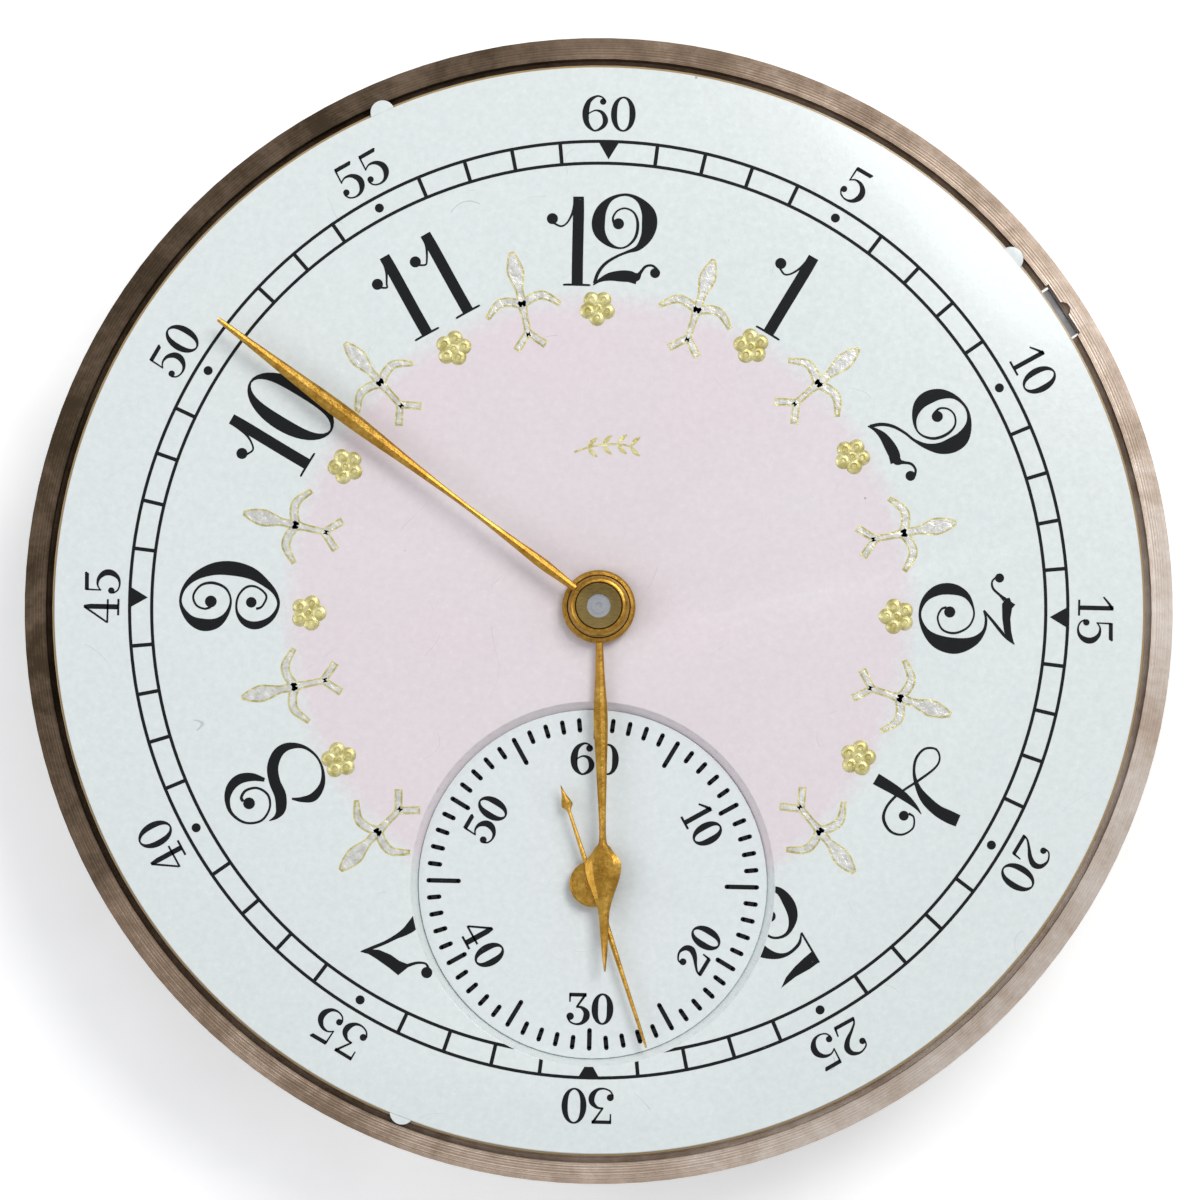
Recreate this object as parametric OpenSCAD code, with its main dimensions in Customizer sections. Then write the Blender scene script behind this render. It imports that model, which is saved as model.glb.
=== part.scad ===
// Open-face watch movement of the American 16 size, with its enamel dial and hands.
// Dial up is +Z and 12 o'clock is +Y. z = 0 is the back face of the bridges.
// Angles called "clock" run clockwise from 12 o'clock, as seen from the dial.

/* [Plates] */
// Radius of the pillar plate's flange: half of 1.700 inches
plate_r = 21.59; // [21.5:0.01:21.7]
// Thickness of the pillar plate
plate_t = 2; // [2:0.05:2.2]
// Thickness of the bridges at the back
bridge_t = 1.4; // [1.35:0.01:1.45]
// Height of the space between the bridges and the pillar plate
train_gap = 2.7; // [2.7:0.01:2.8]
// Radius of the bridges
bridge_r = 20.4; // [20.2:0.05:20.6]
// Width of the raised rim round the dial
rim_w = 0.79; // [0.7:0.01:0.85]
// Height of the rim above the dial's seat
rim_h = 0.65; // [0.5:0.05:0.75]

/* [Dial] */
// Radius of the dial
dial_r = 20.55; // [20.3:0.05:20.6]
// Thickness of the dial, copper and enamel
dial_t = 0.8; // [0.7:0.05:0.9]
// Distance from the dial's centre down to the centre of the seconds dial
seconds_offset = 10.38; // [10.3:0.01:10.45]
// Radius of the sunk seconds dial
seconds_r = 6.79; // [6.6:0.01:6.9]
// Depth of the seconds dial below the main dial's face
seconds_sink = 0.35; // [0.3:0.05:0.4]

/* [Hands] */
// Length of the minute hand
minute_len = 17.9; // [17:0.1:18.5]
// Length of the hour hand
hour_len = 13.66; // [13:0.02:14]
// Length of the seconds hand
second_len = 6.44; // [6:0.02:6.6]
// Length of the seconds hand's tail
tail_len = 3.88; // [3.5:0.02:4]
// Clock angle of the minute hand
minute_clock = 305.8; // [0:0.1:360]
// Clock angle of the hour hand
hour_clock = 177.8; // [0:0.1:360]
// Clock angle of the seconds hand
second_clock = 160.7; // [0:0.1:360]

/* [Train] */
// Module of the barrel and centre pinion
barrel_m = 0.2; // [0.19:0.005:0.2]
// Module of the centre wheel and third pinion
center_m = 0.155; // [0.15:0.001:0.156]
// Module of the third wheel and fourth pinion
third_m = 0.14; // [0.138:0.001:0.141]
// Module of the fourth wheel and escape pinion
fourth_m = 0.12; // [0.118:0.001:0.121]
// Module of the cannon pinion, minute wheel and setting wheels
motion_m = 0.175; // [0.17:0.001:0.176]
// Module of the ratchet, crown wheel and winding pinion
winding_m = 0.21; // [0.205:0.001:0.212]
// Number of teeth on the barrel
barrel_teeth = 78; // [78:6:84]
// Number of leaves on the centre pinion
center_leaves = 12; // [12:1:12]
// Number of teeth on the centre wheel
center_teeth = 80; // [80:10:80]
// Number of teeth on the third wheel
third_teeth = 75; // [75:5:75]
// Number of teeth on the fourth wheel
fourth_teeth = 80; // [80:8:80]

/* [Escapement] */
// Outside radius of the escape wheel
escape_r = 3.6; // [3.5:0.05:3.6]
// Distance from the pallet arbor to the balance staff
lever_centres = 5.3; // [5.25:0.05:5.35]
// Outside radius of the balance rim
balance_r = 7.75; // [7.6:0.05:7.75]

/* [Hidden] */
$fn = 48;

// Levels, upwards from the back
z_plate = bridge_t + train_gap;
z_dial = z_plate + plate_t;
z_face = z_dial + dial_t;
z_motion = z_dial - 0.8;
z_stem = bridge_t + 1.6;
shake = 0.03;
fit = 0.02;
wheel_t = 0.2;
z_barrel = bridge_t + 0.45;
barrel_h = 1.75;
z_center_wheel = z_plate - 0.35;
z_third_wheel = bridge_t + 0.1;
z_fourth_wheel = z_plate - 0.9;
z_escape_wheel = z_plate - 1.5;
escape_t = 0.15;
z_fork = z_plate - 1.5;
fork_t = 0.25;
z_rim = bridge_t + 0.1;
z_second_hand = z_face + 0.05;
z_hour_hand = z_face + 0.3;
z_minute_hand = z_face + 0.75;
hand_t = 0.18;

// Plan of the train: arbors placed by their centre distances
function polar(r, a) = [r * cos(a), r * sin(a)];
// Where two circles about p and q with radii rp and rq meet, on the left of the way from p to q
function meet(p, q, rp, rq) =
  let (d = norm(q - p), u = (q - p) / d, x = (rp * rp - rq * rq + d * d) / (2 * d),
       h = sqrt(rp * rp - x * x))
  p + x * u + h * [-u[1], u[0]];
function bearing(p, q) = atan2(q[1] - p[1], q[0] - p[0]);

center_at = [0, 0];
fourth_at = [0, -seconds_offset];
third_at = meet(center_at, fourth_at, center_m * (center_teeth + 10) / 2,
                third_m * (third_teeth + 10) / 2);
escape_from_fourth = 187;
escape_at = fourth_at + polar(fourth_m * (fourth_teeth + 8) / 2, escape_from_fourth);
line_of_escape = 129.6;
pallet_centres = escape_r / cos(30);
pallet_at = escape_at + polar(pallet_centres, line_of_escape);
balance_at = pallet_at + polar(lever_centres, line_of_escape);
ratchet_teeth = 60;
crown_teeth = 38;
crown_at = [0, 14.6];
// The barrel is in mesh with the centre pinion, and its ratchet with the crown wheel
barrel_at = meet(crown_at, center_at, winding_m * (ratchet_teeth + crown_teeth) / 2,
                 barrel_m * (barrel_teeth + center_leaves) / 2);
stem_teeth = 20;
minute_at = [0, motion_m * 24];
setting_at = minute_at + [0, motion_m * 30];
clutch_wheel_at = setting_at + [0, motion_m * 23];

// Tooth phases: the wheel named first has a tooth on the line of centres, its mate a gap
function gap_on(teeth, a) = a + 180 / teeth;

// ---- Shared shapes ----
// Outline of a toothed wheel: every tooth is a root, two flanks and a narrower tip
function tooth_outline(teeth, m, phase, share, add, ded) =
  let (p = 360 / teeth, r = m * teeth / 2, w = share * p / 2)
  [for (i = [0 : teeth - 1], q = [[r - ded * m, -w], [r, -w], [r + add * m, -0.5 * w],
                                  [r + add * m, 0.5 * w], [r, w], [r - ded * m, w]])
    polar(q[0], phase + i * p + q[1])];

module at(p, z = 0, turn = 0) { translate([p[0], p[1], z]) rotate([0, 0, turn]) children(); }

module tube(r_out, r_in, h) {
  difference() {
    cylinder(r = r_out, h = h);
    translate([0, 0, -1]) cylinder(r = r_in, h = h + 2);
  }
}

module spur(teeth, m, phase, h, share = 0.44, add = 0.9, ded = 1.2) {
  linear_extrude(h) polygon(tooth_outline(teeth, m, phase, share, add, ded));
}

// Train wheel with crossings: a toothed rim, arms and a hub with a hole
module crossed_wheel(teeth, m, phase, h, hole, arms, rim, hub, arm_w) {
  r = m * teeth / 2 - 1.2 * m - rim;
  difference() {
    spur(teeth, m, phase, h);
    translate([0, 0, -1]) cylinder(r = hole, h = h + 2);
    translate([0, 0, -1]) difference() {
      tube(r, hub, h + 2);
      for (i = [0 : arms - 1])
        rotate([0, 0, i * 360 / arms]) translate([0, -arm_w / 2, -1]) cube([r + 1, arm_w, h + 4]);
    }
  }
}

// Arbor with leaves from leaf_z to leaf_z + leaf_h and a pivot in the jewel at each end
module leaf_arbor(leaves, m, phase, leaf_z, leaf_h, body_r, pivot_r) {
  translate([0, 0, leaf_z]) spur(leaves, m, phase, leaf_h, 0.34, 0.7, 1.25);
  translate([0, 0, bridge_t + shake]) cylinder(r = body_r, h = train_gap - 2 * shake);
  translate([0, 0, bridge_t - 0.25]) cylinder(r = pivot_r, h = train_gap + 0.5);
}

module jewel(hole_r, h = 0.3) { tube(0.75, hole_r, h); }

// Screw with its slotted head at the back and its shank towards the dial
module screw(head_r, head_h, shank_r, length) {
  difference() {
    cylinder(r = head_r, h = head_h);
    translate([-head_r - 1, -0.09, -0.01]) cube([2 * head_r + 2, 0.18, 0.21]);
  }
  translate([0, 0, head_h]) cylinder(r = shank_r, h = length);
}

module arc_wall(r_in, r_out, from, to, z0, z1) {
  rotate([0, 0, from]) rotate_extrude(angle = to - from, $fn = 180)
    translate([r_in, z0]) square([r_out - r_in, z1 - z0]);
}

// Half-width of a hand at distance d: smooth steps between its stations [distance, half-width]
function ease(t) = (1 - cos(180 * t)) / 2;
function hand_side(stations, steps, side) =
  [for (i = [0 : len(stations) - 2], k = [0 : steps - 1])
    let (a = stations[i], b = stations[i + 1], t = k / steps)
    [side * (a[1] + (b[1] - a[1]) * ease(t)), a[0] + (b[0] - a[0]) * t]];
function reversed(v) = [for (i = [len(v) - 1 : -1 : 0]) v[i]];
function hand_outline(stations, steps = 6) =
  let (tip = stations[len(stations) - 1])
  concat(hand_side(stations, steps, 1), [[tip[1], tip[0]], [-tip[1], tip[0]]],
         reversed(hand_side(stations, steps, -1)));

// Flat spiral band about the origin
function spiral_points(r0, r1, turns, steps, offset) =
  [for (i = [0 : steps]) polar(r0 + (r1 - r0) * i / steps + offset, 360 * turns * i / steps)];
module spiral(r0, r1, turns, band, h, per_turn = 24) {
  steps = turns * per_turn;
  linear_extrude(h) polygon(concat(spiral_points(r0, r1, turns, steps, -band / 2),
                                   reversed(spiral_points(r0, r1, turns, steps, band / 2))));
}

// ---- Places shared by several pieces ----
foot_clocks = [25, 145, 265];
foot_r = 18.9;
bridge_screw_angles = [10, 62, 116, -38, -106];
bridge_screw_r = 18.7;
cock_foot_at = polar(18.07, 153.7);
cock_screw_at = polar(18.3, 153.7);
case_hole_angles = [-9.5, 170.5];
case_hole_r = 19.4;
case_notch_r = 1.45;
balance_room = 8.5;
jewel_arbors = [fourth_at, third_at, escape_at, pallet_at];
pivot_radii = [0.12, 0.12, 0.1, 0.1];
lever_turn = 34;
yoke_at = [5.35, 10.84];
yoke_pin_at = [0.5, 17.35];
yoke_elbow_at = [4.3, 16.6];
yoke_tip_at = [11.5, 9.84];
yoke_swing = 11.8;
// The click is drawn with its screw on the X axis of the barrel and its beak meeting a gap
click_reach = 7.9;
click_beak = 16.6;
ratchet_phase = bearing(barrel_at, crown_at);
click_turn = ratchet_phase + 3 - click_beak - 6 * 24;
click_at = barrel_at + polar(click_reach, click_turn);
pallet_foot_at = pallet_at + polar(4.6, line_of_escape + 90);

// ---- Plates and bridges ----
module pillar_plate() {
  color([0.66, 0.58, 0.49]) difference() {
    union() {
      translate([0, 0, z_plate]) cylinder(r = plate_r - 0.99, h = plate_t, $fn = 180);
      translate([0, 0, z_motion]) cylinder(r = plate_r, h = z_dial - z_motion + rim_h, $fn = 180);
      // lug for the winding stem
      intersection() {
        translate([-2.2, 19.7, bridge_t]) cube([4.4, 3, train_gap + 0.5]);
        cylinder(r = plate_r - 0.64, h = 9, $fn = 180);
      }
      translate([-1.3, 14, bridge_t + 0.4]) cube([2.6, 1, train_gap]);
    }
    translate([0, 0, z_dial]) cylinder(r = plate_r - rim_w, h = 2, $fn = 180);
    // notch in the rim for a fingernail at the setting lever
    rotate([0, 0, lever_turn]) translate([plate_r - rim_w, 0, z_dial - 0.01]) cylinder(r = 0.3, h = 2);
    motion_recess();
    for (i = [0 : len(jewel_arbors) - 1])
      at(jewel_arbors[i], z_plate - 1) cylinder(r = 0.75, h = 1.6);
    at(balance_at, z_plate - 1) cylinder(r = 0.75, h = 1.9);
    // seconds pivot to the dial, centre arbor, barrel arbor
    at(fourth_at, z_plate) cylinder(r = 0.35, h = 3);
    cylinder(r = 0.52, h = 9);
    at(barrel_at, z_plate - 1) cylinder(r = 0.52, h = 2);
    // dial feet and their screws
    for (c = foot_clocks) {
      at(polar(foot_r, 90 - c), z_plate + 0.4) cylinder(r = 0.42, h = 3);
      rotate([0, 0, 90 - c]) translate([foot_r + 0.35, 0, z_plate + 0.55]) rotate([0, 90, 0])
        cylinder(r = 0.3, h = 3);
    }
    // tapped holes for bridge, cock and case screws
    for (a = bridge_screw_angles) at(polar(bridge_screw_r, a), z_plate - 1) cylinder(r = 0.45, h = 2.2);
    at(cock_screw_at, z_plate - 1) cylinder(r = 0.45, h = 2.2);
    at(pallet_foot_at, z_plate - 1) cylinder(r = 0.3, h = 1.9);
    for (a = case_hole_angles) at(polar(case_hole_r, a), z_plate - 1) cylinder(r = 0.55, h = 2);
    at(yoke_at, z_motion - 0.4) cylinder(r = 0.45, h = 2);
    for (p = [minute_at, setting_at, clutch_wheel_at]) at(p, z_plate + 0.2) cylinder(r = 0.4, h = 2);
    // room for the winding pinion, the clutch and the pin of the clutch lever
    translate([-2.5, 15.1, z_plate - 1]) cube([5, 4.6, 2.15]);
    translate([-1.3, 15.9, z_plate]) cube([2.6, 2, 2]);
    translate([0, 14, z_stem]) rotate([-90, 0, 0]) cylinder(r = 0.8, h = 9);
    translate([0, 14, z_stem]) rotate([-90, 0, 0]) cylinder(r = 1, h = 6.3);
    for (s = [-1, 1]) at(banking_at(s), z_plate - 1) cylinder(r = 0.12, h = 1.5);
  }
}

function banking_at(s) = pallet_at + polar(2.6, line_of_escape + s * 12.3);

// Space under the dial for the motion work and the setting work
module motion_recess() {
  translate([0, 0, z_motion]) {
    cylinder(r = 3.9, h = 3);
    at(minute_at) cylinder(r = 3.6, h = 3);
    at(setting_at) cylinder(r = 2.6, h = 3);
    at(clutch_wheel_at, -0.65) cylinder(r = 2.4, h = 3);
    rotate([0, 0, lever_turn]) {
      translate([12, -1.1, 0]) cube([8.9, 2.2, 3]);
      translate([12, -1.1, 0]) cube([6, 3.6, 3]);
      translate([19, -1.1, 0]) cube([5, 2.2, z_dial - z_motion - 0.2]);
    }
    for (swing = [0 : 4]) at(yoke_at, 0, swing * yoke_swing / 4) yoke_arms(1.2, 3);
  }
}

// Straight bar of width w with slightly wider round ends between two points
module swept_arm(p, q, w, h = 3) {
  at(p, 0, bearing(p, q)) translate([0, -w / 2, 0]) cube([norm(q - p), w, h]);
  at(p) cylinder(r = 0.56 * w, h = h);
  at(q) cylinder(r = 0.56 * w, h = h);
}

// Arms of the clutch lever about its pivot: one bent round to the clutch, one to the setting lever
module yoke_arms(w, h) {
  elbow = yoke_elbow_at - yoke_at;
  cylinder(r = w / 2 + 0.5, h = h);
  swept_arm([0, 0], elbow, w, h);
  swept_arm(elbow, yoke_pin_at - yoke_at, w, h);
  swept_arm([0, 0], yoke_tip_at - yoke_at, w, h);
}

module bridge_slab(outline) {
  intersection() {
    cylinder(r = bridge_r, h = bridge_t, $fn = 180);
    translate([0, 0, -1]) linear_extrude(bridge_t + 2) polygon(outline);
  }
}

module screw_seats(angles) {
  for (a = angles) at(polar(bridge_screw_r, a), -1) {
    cylinder(r = 0.95, h = 1.6);
    cylinder(r = 0.45, h = 9);
  }
}

module bridge_jewel_seat(p) {
  at(p, bridge_t - 0.3) cylinder(r = 0.75, h = 1);
  at(p, -1) cylinder(r = 0.55, h = 3);
  at(p, -0.01) cylinder(r1 = 0.95, r2 = 0.55, h = 0.4);
}

module barrel_bridge() {
  color([0.80, 0.79, 0.76]) difference() {
    union() {
      bridge_slab([[-2.9, -2.3], [24, -2.3], [24, 24], [-17, 24], [-14.6, 14.8]]);
      arc_wall(17.4, bridge_r - 0.12, -4, 80, 0.5, z_plate);
      arc_wall(17.4, bridge_r - 0.12, 101, 130, 0.5, z_plate);
    }
    at(balance_at, -1) cylinder(r = balance_room, h = 9);
    bridge_jewel_seat(center_at);
    at(barrel_at, -1) cylinder(r = 0.82, h = 4);
    at(barrel_at, -1) cylinder(r = 6.75, h = 1.9);
    at(crown_at, -1) cylinder(r = 4.4, h = 1.9);
    at(crown_at, -1) cylinder(r = 0.6, h = 4);
    translate([-2.5, 15.1, -1]) cube([5, 8, 9]);
    at(click_at, -1) cylinder(r = 2.9, h = 1.9);
    at(click_at, -1) cylinder(r = 0.4, h = 4);
    at(click_at, 0, click_turn) translate([click_spring_pin, 0, 0]) cylinder(r = 0.25, h = bridge_t - 0.2);
    screw_seats([10, 62, 116]);
  }
}

module train_bridge() {
  color([0.80, 0.79, 0.76]) difference() {
    union() {
      bridge_slab([[-2.7, -2.7], [24, -2.7], [24, -24], [-9, -24], [-7.6, -12], [-4, -8]]);
      arc_wall(17, bridge_r - 0.12, -118, -95, 0.5, z_plate);
      arc_wall(17, bridge_r - 0.12, -60, -15, 0.5, z_plate);
    }
    at(balance_at, -1) cylinder(r = balance_room, h = 9);
    for (i = [0 : 2]) bridge_jewel_seat(jewel_arbors[i]);
    screw_seats([-38, -106]);
    // notch that leaves the right case screw free from behind
    at(polar(case_hole_r, case_hole_angles[0]), -1) cylinder(r = case_notch_r, h = 9);
  }
}

module pallet_cock() {
  color([0.80, 0.79, 0.76]) difference() {
    union() {
      at(pallet_at, z_fork - 0.35) cylinder(r = 0.95, h = 0.2);
      at(pallet_at, z_fork - 0.35, line_of_escape + 90) translate([0, -0.6, 0]) cube([4.6, 1.2, 0.2]);
      at(pallet_foot_at, z_fork - 0.35) cylinder(r = 1.1, h = z_plate - z_fork + 0.35);
    }
    at(pallet_at, 0) cylinder(r = 0.45, h = 4);
    at(pallet_foot_at, 0) cylinder(r = 0.3, h = 6);
    at(pallet_foot_at, 0) cylinder(r = 0.62, h = z_fork);
  }
}

module balance_cock() {
  cock_turn = bearing(balance_at, cock_foot_at);
  color([0.80, 0.79, 0.76]) difference() {
    union() {
      intersection() {
        union() {
          at(balance_at, cock_z) cylinder(r = 3.7, h = cock_t);
          at(balance_at, cock_z, cock_turn) linear_extrude(cock_t)
            polygon([[0, -3.5], [9.6, -3.3], [12.7, -3.3], [12.7, 3.3], [9.6, 3.3], [0, 3.5]]);
        }
        cylinder(r = bridge_r, h = 9, $fn = 180);
      }
      intersection() {
        difference() {
          at(cock_foot_at) cylinder(r = 3.4, h = z_plate);
          at(balance_at, -1) cylinder(r = balance_room, h = 9);
        }
        cylinder(r = bridge_r, h = 9, $fn = 180);
      }
    }
    at(balance_at, -1) cylinder(r = 0.75, h = 4);
    at(cock_screw_at, -1) cylinder(r = 0.95, h = 1.6);
    at(cock_screw_at, -1) cylinder(r = 0.45, h = 9);
    at(stud_at, -1) cylinder(r = 0.3, h = 4);
    // slot that the regulator's curb pins pass through
    at(balance_at, -1, cock_turn + 180) arc_band(spring_r - 0.3, spring_r + 0.3, -11, 11, 4);
  }
}
cock_z = 0.35;
cock_t = bridge_t - 0.45 - cock_z;
spring_r = 3.05;
stud_at = balance_at + polar(spring_r, bearing(balance_at, cock_foot_at) + 215);

module bridge_screws() {
  color([0.33, 0.36, 0.46]) {
    for (a = bridge_screw_angles) at(polar(bridge_screw_r, a), 0.1) screw(0.9, 0.5, 0.45, 4.4);
    at(pallet_foot_at, z_fork - 0.3) screw(0.6, 0.3, 0.3, 1.9);
  }
}

module cock_screws() {
  color([0.33, 0.36, 0.46]) at(cock_screw_at, 0.1) screw(0.9, 0.5, 0.45, 4.4);
}

module plate_jewels() {
  color([0.72, 0.12, 0.22]) {
    for (i = [0 : len(jewel_arbors) - 1]) at(jewel_arbors[i], z_plate) jewel(pivot_radii[i] + fit, 0.3);
    at(balance_at, z_plate) jewel(0.1, 0.3);
  }
}

module bridge_jewels() {
  color([0.72, 0.12, 0.22]) {
    for (i = [0 : 2]) at(jewel_arbors[i], bridge_t - 0.3) jewel(pivot_radii[i] + fit, 0.3);
    at(center_at, bridge_t - 0.3) jewel(0.32, 0.3);
    at(balance_at, cock_z + cock_t - 0.3) jewel(0.1, 0.3);
    at(pallet_at, z_fork - 0.35) tube(0.45, 0.1 + fit, 0.2);
  }
}

module cap_jewels() {
  color([0.72, 0.12, 0.22]) {
    at(balance_at, z_plate + 0.32) cylinder(r = 0.75, h = 0.3);
    at(balance_at, cock_z) cylinder(r = 0.75, h = 0.28);
  }
  color([0.75, 0.62, 0.30]) at(balance_at, 0.05) tube(1.25, 0.5, cock_z - 0.05);
}

module hairspring_stud() {
  color([0.45, 0.48, 0.52]) at(stud_at, 0.2) cylinder(r = 0.3, h = bridge_t - 0.28);
}

module banking_pins() {
  color([0.6, 0.6, 0.62]) for (s = [-1, 1]) at(banking_at(s), z_fork - 0.1)
    cylinder(r = 0.12, h = z_plate - z_fork + 0.5);
}

module crown_wheel_core() {
  color([0.75, 0.74, 0.72]) at(crown_at) {
    difference() {
      union() {
        translate([0, 0, 0.3]) cylinder(r = 1.5, h = bridge_t - 0.8);
        translate([0, 0, 0.1]) cylinder(r = 2.1, h = 0.18);
        translate([0, 0, 0.2]) cylinder(r = 0.6, h = bridge_t - 0.25);
      }
      translate([-3, -0.12, 0]) cube([6, 0.24, 0.2]);
    }
  }
}

module click_screw() {
  color([0.33, 0.36, 0.46]) at(click_at, 0.05) screw(0.8, 0.2, 0.4, bridge_t - 0.25);
}

click_spring_pin = 2.51;
module click_spring() {
  color([0.55, 0.57, 0.60]) at(click_at, 0.4, click_turn) {
    arc_band(2.4, 2.62, 245, 360, 0.3);
    translate([click_spring_pin, 0, 0]) cylinder(r = 0.25, h = bridge_t - 0.6);
  }
}
module arc_band(r_in, r_out, from, to, h) {
  rotate([0, 0, from]) rotate_extrude(angle = to - from) translate([r_in, 0]) square([r_out - r_in, h]);
}

// ---- Dial ----
// Clock angle of each drop, and how far it stands past the dial's edge
edge_drops = [[-24.8, 0.35], [48.5, 0.3], [200, 0.2]];
drop_r = 0.46;
module dial_plate() {
  color([0.90, 0.92, 0.91]) difference() {
    union() {
      translate([0, 0, z_dial]) cylinder(r = dial_r - 0.1, h = dial_t, $fn = 180);
      translate([0, 0, z_dial + 0.2]) cylinder(r = dial_r, h = dial_t - 0.35, $fn = 180);
      // drops of enamel run over the edge where the dial was held in the kiln
      for (d = edge_drops) at(polar(dial_r - drop_r + d[1], 90 - d[0]), z_dial + dial_t - 0.13)
        cylinder(r = drop_r, h = 0.1);
    }
    // window for the seconds dial, bevelled
    at(fourth_at, z_dial - 1) cylinder(r = seconds_r - 0.25, h = 3, $fn = 120);
    at(fourth_at, z_dial + 0.3) cylinder(r1 = seconds_r - 0.25, r2 = seconds_r + 0.05, h = dial_t - 0.29, $fn = 120);
    translate([0, 0, z_dial - 1]) cylinder(r = 1.25, h = 4);
  }
}

module seconds_dial() {
  color([0.90, 0.92, 0.91]) at(fourth_at, z_dial)
    difference() {
      cylinder(r = seconds_r - 0.25, h = dial_t - seconds_sink, $fn = 120);
      translate([0, 0, -1]) cylinder(r = 0.5, h = 4);
    }
}

module dial_feet() {
  color([0.72, 0.42, 0.28]) for (c = foot_clocks)
    at(polar(foot_r, 90 - c), z_plate + 0.45) cylinder(r = 0.4, h = plate_t - 0.45);
}

module dial_foot_screws() {
  color([0.33, 0.36, 0.46]) for (c = foot_clocks) rotate([0, 0, 90 - c])
    translate([foot_r + 0.42, 0, z_plate + 0.55]) rotate([0, 90, 0]) cylinder(r = 0.3, h = 1.1);
}

// ---- Hands ----
module hand_blade(stations, z) {
  translate([0, 0, z]) linear_extrude(hand_t) polygon(hand_outline(stations));
}

module hour_hand() {
  stations = [[1.25, 0.13], [0.31 * hour_len, 0.265], [0.637 * hour_len, 0.13], [0.705 * hour_len, 0.68],
              [0.845 * hour_len, 0.2], [0.875 * hour_len, 0.17], [hour_len, 0.04]];
  color([0.62, 0.46, 0.24]) rotate([0, 0, -hour_clock]) {
    hand_blade(stations, z_hour_hand);
    translate([0, 0, z_hour_hand]) tube(1.38, 1.15, 0.25);
  }
}

module minute_hand() {
  stations = [[0.95, 0.13], [2.7, 0.21], [0.35 * minute_len, 0.1], [0.66 * minute_len, 0.31],
              [0.97 * minute_len, 0.11], [minute_len, 0.08]];
  color([0.62, 0.46, 0.24]) rotate([0, 0, -minute_clock]) {
    hand_blade(stations, z_minute_hand);
    translate([0, 0, z_minute_hand - 0.05]) tube(1.13, 0.85, 0.35);
  }
}

module seconds_hand() {
  stations = [[-tail_len, 0.02], [-0.84 * tail_len, 0.2], [-0.74 * tail_len, 0.07], [-0.6, 0.1], [0.6, 0.12],
              [0.6 * second_len, 0.08], [second_len, 0.05]];
  color([0.62, 0.46, 0.24]) at(fourth_at, 0, -second_clock) difference() {
    union() {
      hand_blade(stations, z_second_hand);
      translate([0, 0, z_second_hand - 0.05]) cylinder(r = 0.87, h = 0.16);
      translate([0, 0, z_second_hand - 0.35]) cylinder(r = 0.3, h = 0.5);
    }
    cylinder(r = 0.12, h = 20);
  }
}

// ---- Motion work ----
module hour_wheel() {
  m = motion_m * 48 / 50;
  color([0.78, 0.64, 0.33]) difference() {
    union() {
      translate([0, 0, z_dial - 0.35]) spur(40, m, gap_on(40, 90), 0.25);
      translate([0, 0, z_dial - 0.35]) cylinder(r = 1.15, h = z_hour_hand + 0.25 - z_dial + 0.35);
    }
    cylinder(r = 0.89, h = 20);
  }
}

module cannon_pinion() {
  color([0.50, 0.42, 0.28]) difference() {
    union() {
      translate([0, 0, z_motion + 0.05]) spur(12, motion_m, 90, 0.35, 0.36, 0.7, 1.2);
      translate([0, 0, z_motion + 0.05]) cylinder(r = 0.85, h = z_minute_hand + 0.3 - z_motion);
    }
    cylinder(r = 0.5, h = z_minute_hand + 0.25);
    translate([0, 0, z_minute_hand + 0.15]) cylinder(r = 0.45, h = 1);
  }
}

module minute_wheel() {
  m2 = motion_m * 48 / 50;
  color([0.78, 0.64, 0.33]) at(minute_at) difference() {
    union() {
      translate([0, 0, z_motion + 0.08]) spur(36, motion_m, gap_on(36, 270), 0.22);
      translate([0, 0, z_motion + 0.08]) spur(10, m2, 270, 0.6, 0.34, 0.7, 1.2);
    }
    cylinder(r = 0.3, h = 20);
  }
}

module setting_wheel() {
  color([0.60, 0.62, 0.65]) at(setting_at) difference() {
    translate([0, 0, z_motion + 0.08]) spur(24, motion_m, 270, 0.3);
    cylinder(r = 0.3, h = 20);
  }
}

module clutch_wheel() {
  color([0.60, 0.62, 0.65]) at(clutch_wheel_at) difference() {
    translate([0, 0, z_motion - 0.55]) spur(22, motion_m, gap_on(22, 270), 0.9);
    cylinder(r = 0.3, h = 20);
  }
}

// Shouldered studs that the minute wheel and both setting wheels turn on
module minute_wheel_stud() {
  color([0.6, 0.6, 0.62]) {
    for (stud = [[minute_at, z_motion, z_dial - 0.1], [setting_at, z_motion, z_dial - 0.35],
                 [clutch_wheel_at, z_motion - 0.65, z_dial - 0.35]]) {
      at(stud[0], z_plate + 0.2) cylinder(r = 0.4, h = stud[1] - z_plate - 0.2);
      at(stud[0], z_plate + 0.2) cylinder(r = 0.28, h = stud[2] - z_plate - 0.2);
    }
  }
}

// Cap that holds down the clutch lever
module setting_cap() {
  color([0.55, 0.57, 0.60]) at(yoke_at) {
    translate([0, 0, z_motion - 0.4]) cylinder(r = 0.43, h = 0.86);
    translate([0, 0, z_motion + 0.46]) cylinder(r = 1, h = 0.16);
  }
}

module setting_lever() {
  color([0.60, 0.62, 0.65]) rotate([0, 0, lever_turn]) translate([0, 0, z_motion + 0.05]) difference() {
    linear_extrude(0.4) polygon([[12.2, -1], [21.3, -1], [21.3, 1], [15.5, 1], [13, 2.28], [12.2, 2.28]]);
    translate([20.9, -0.7, 0.25]) cube([0.2, 1.4, 1]);
  }
}

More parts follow.
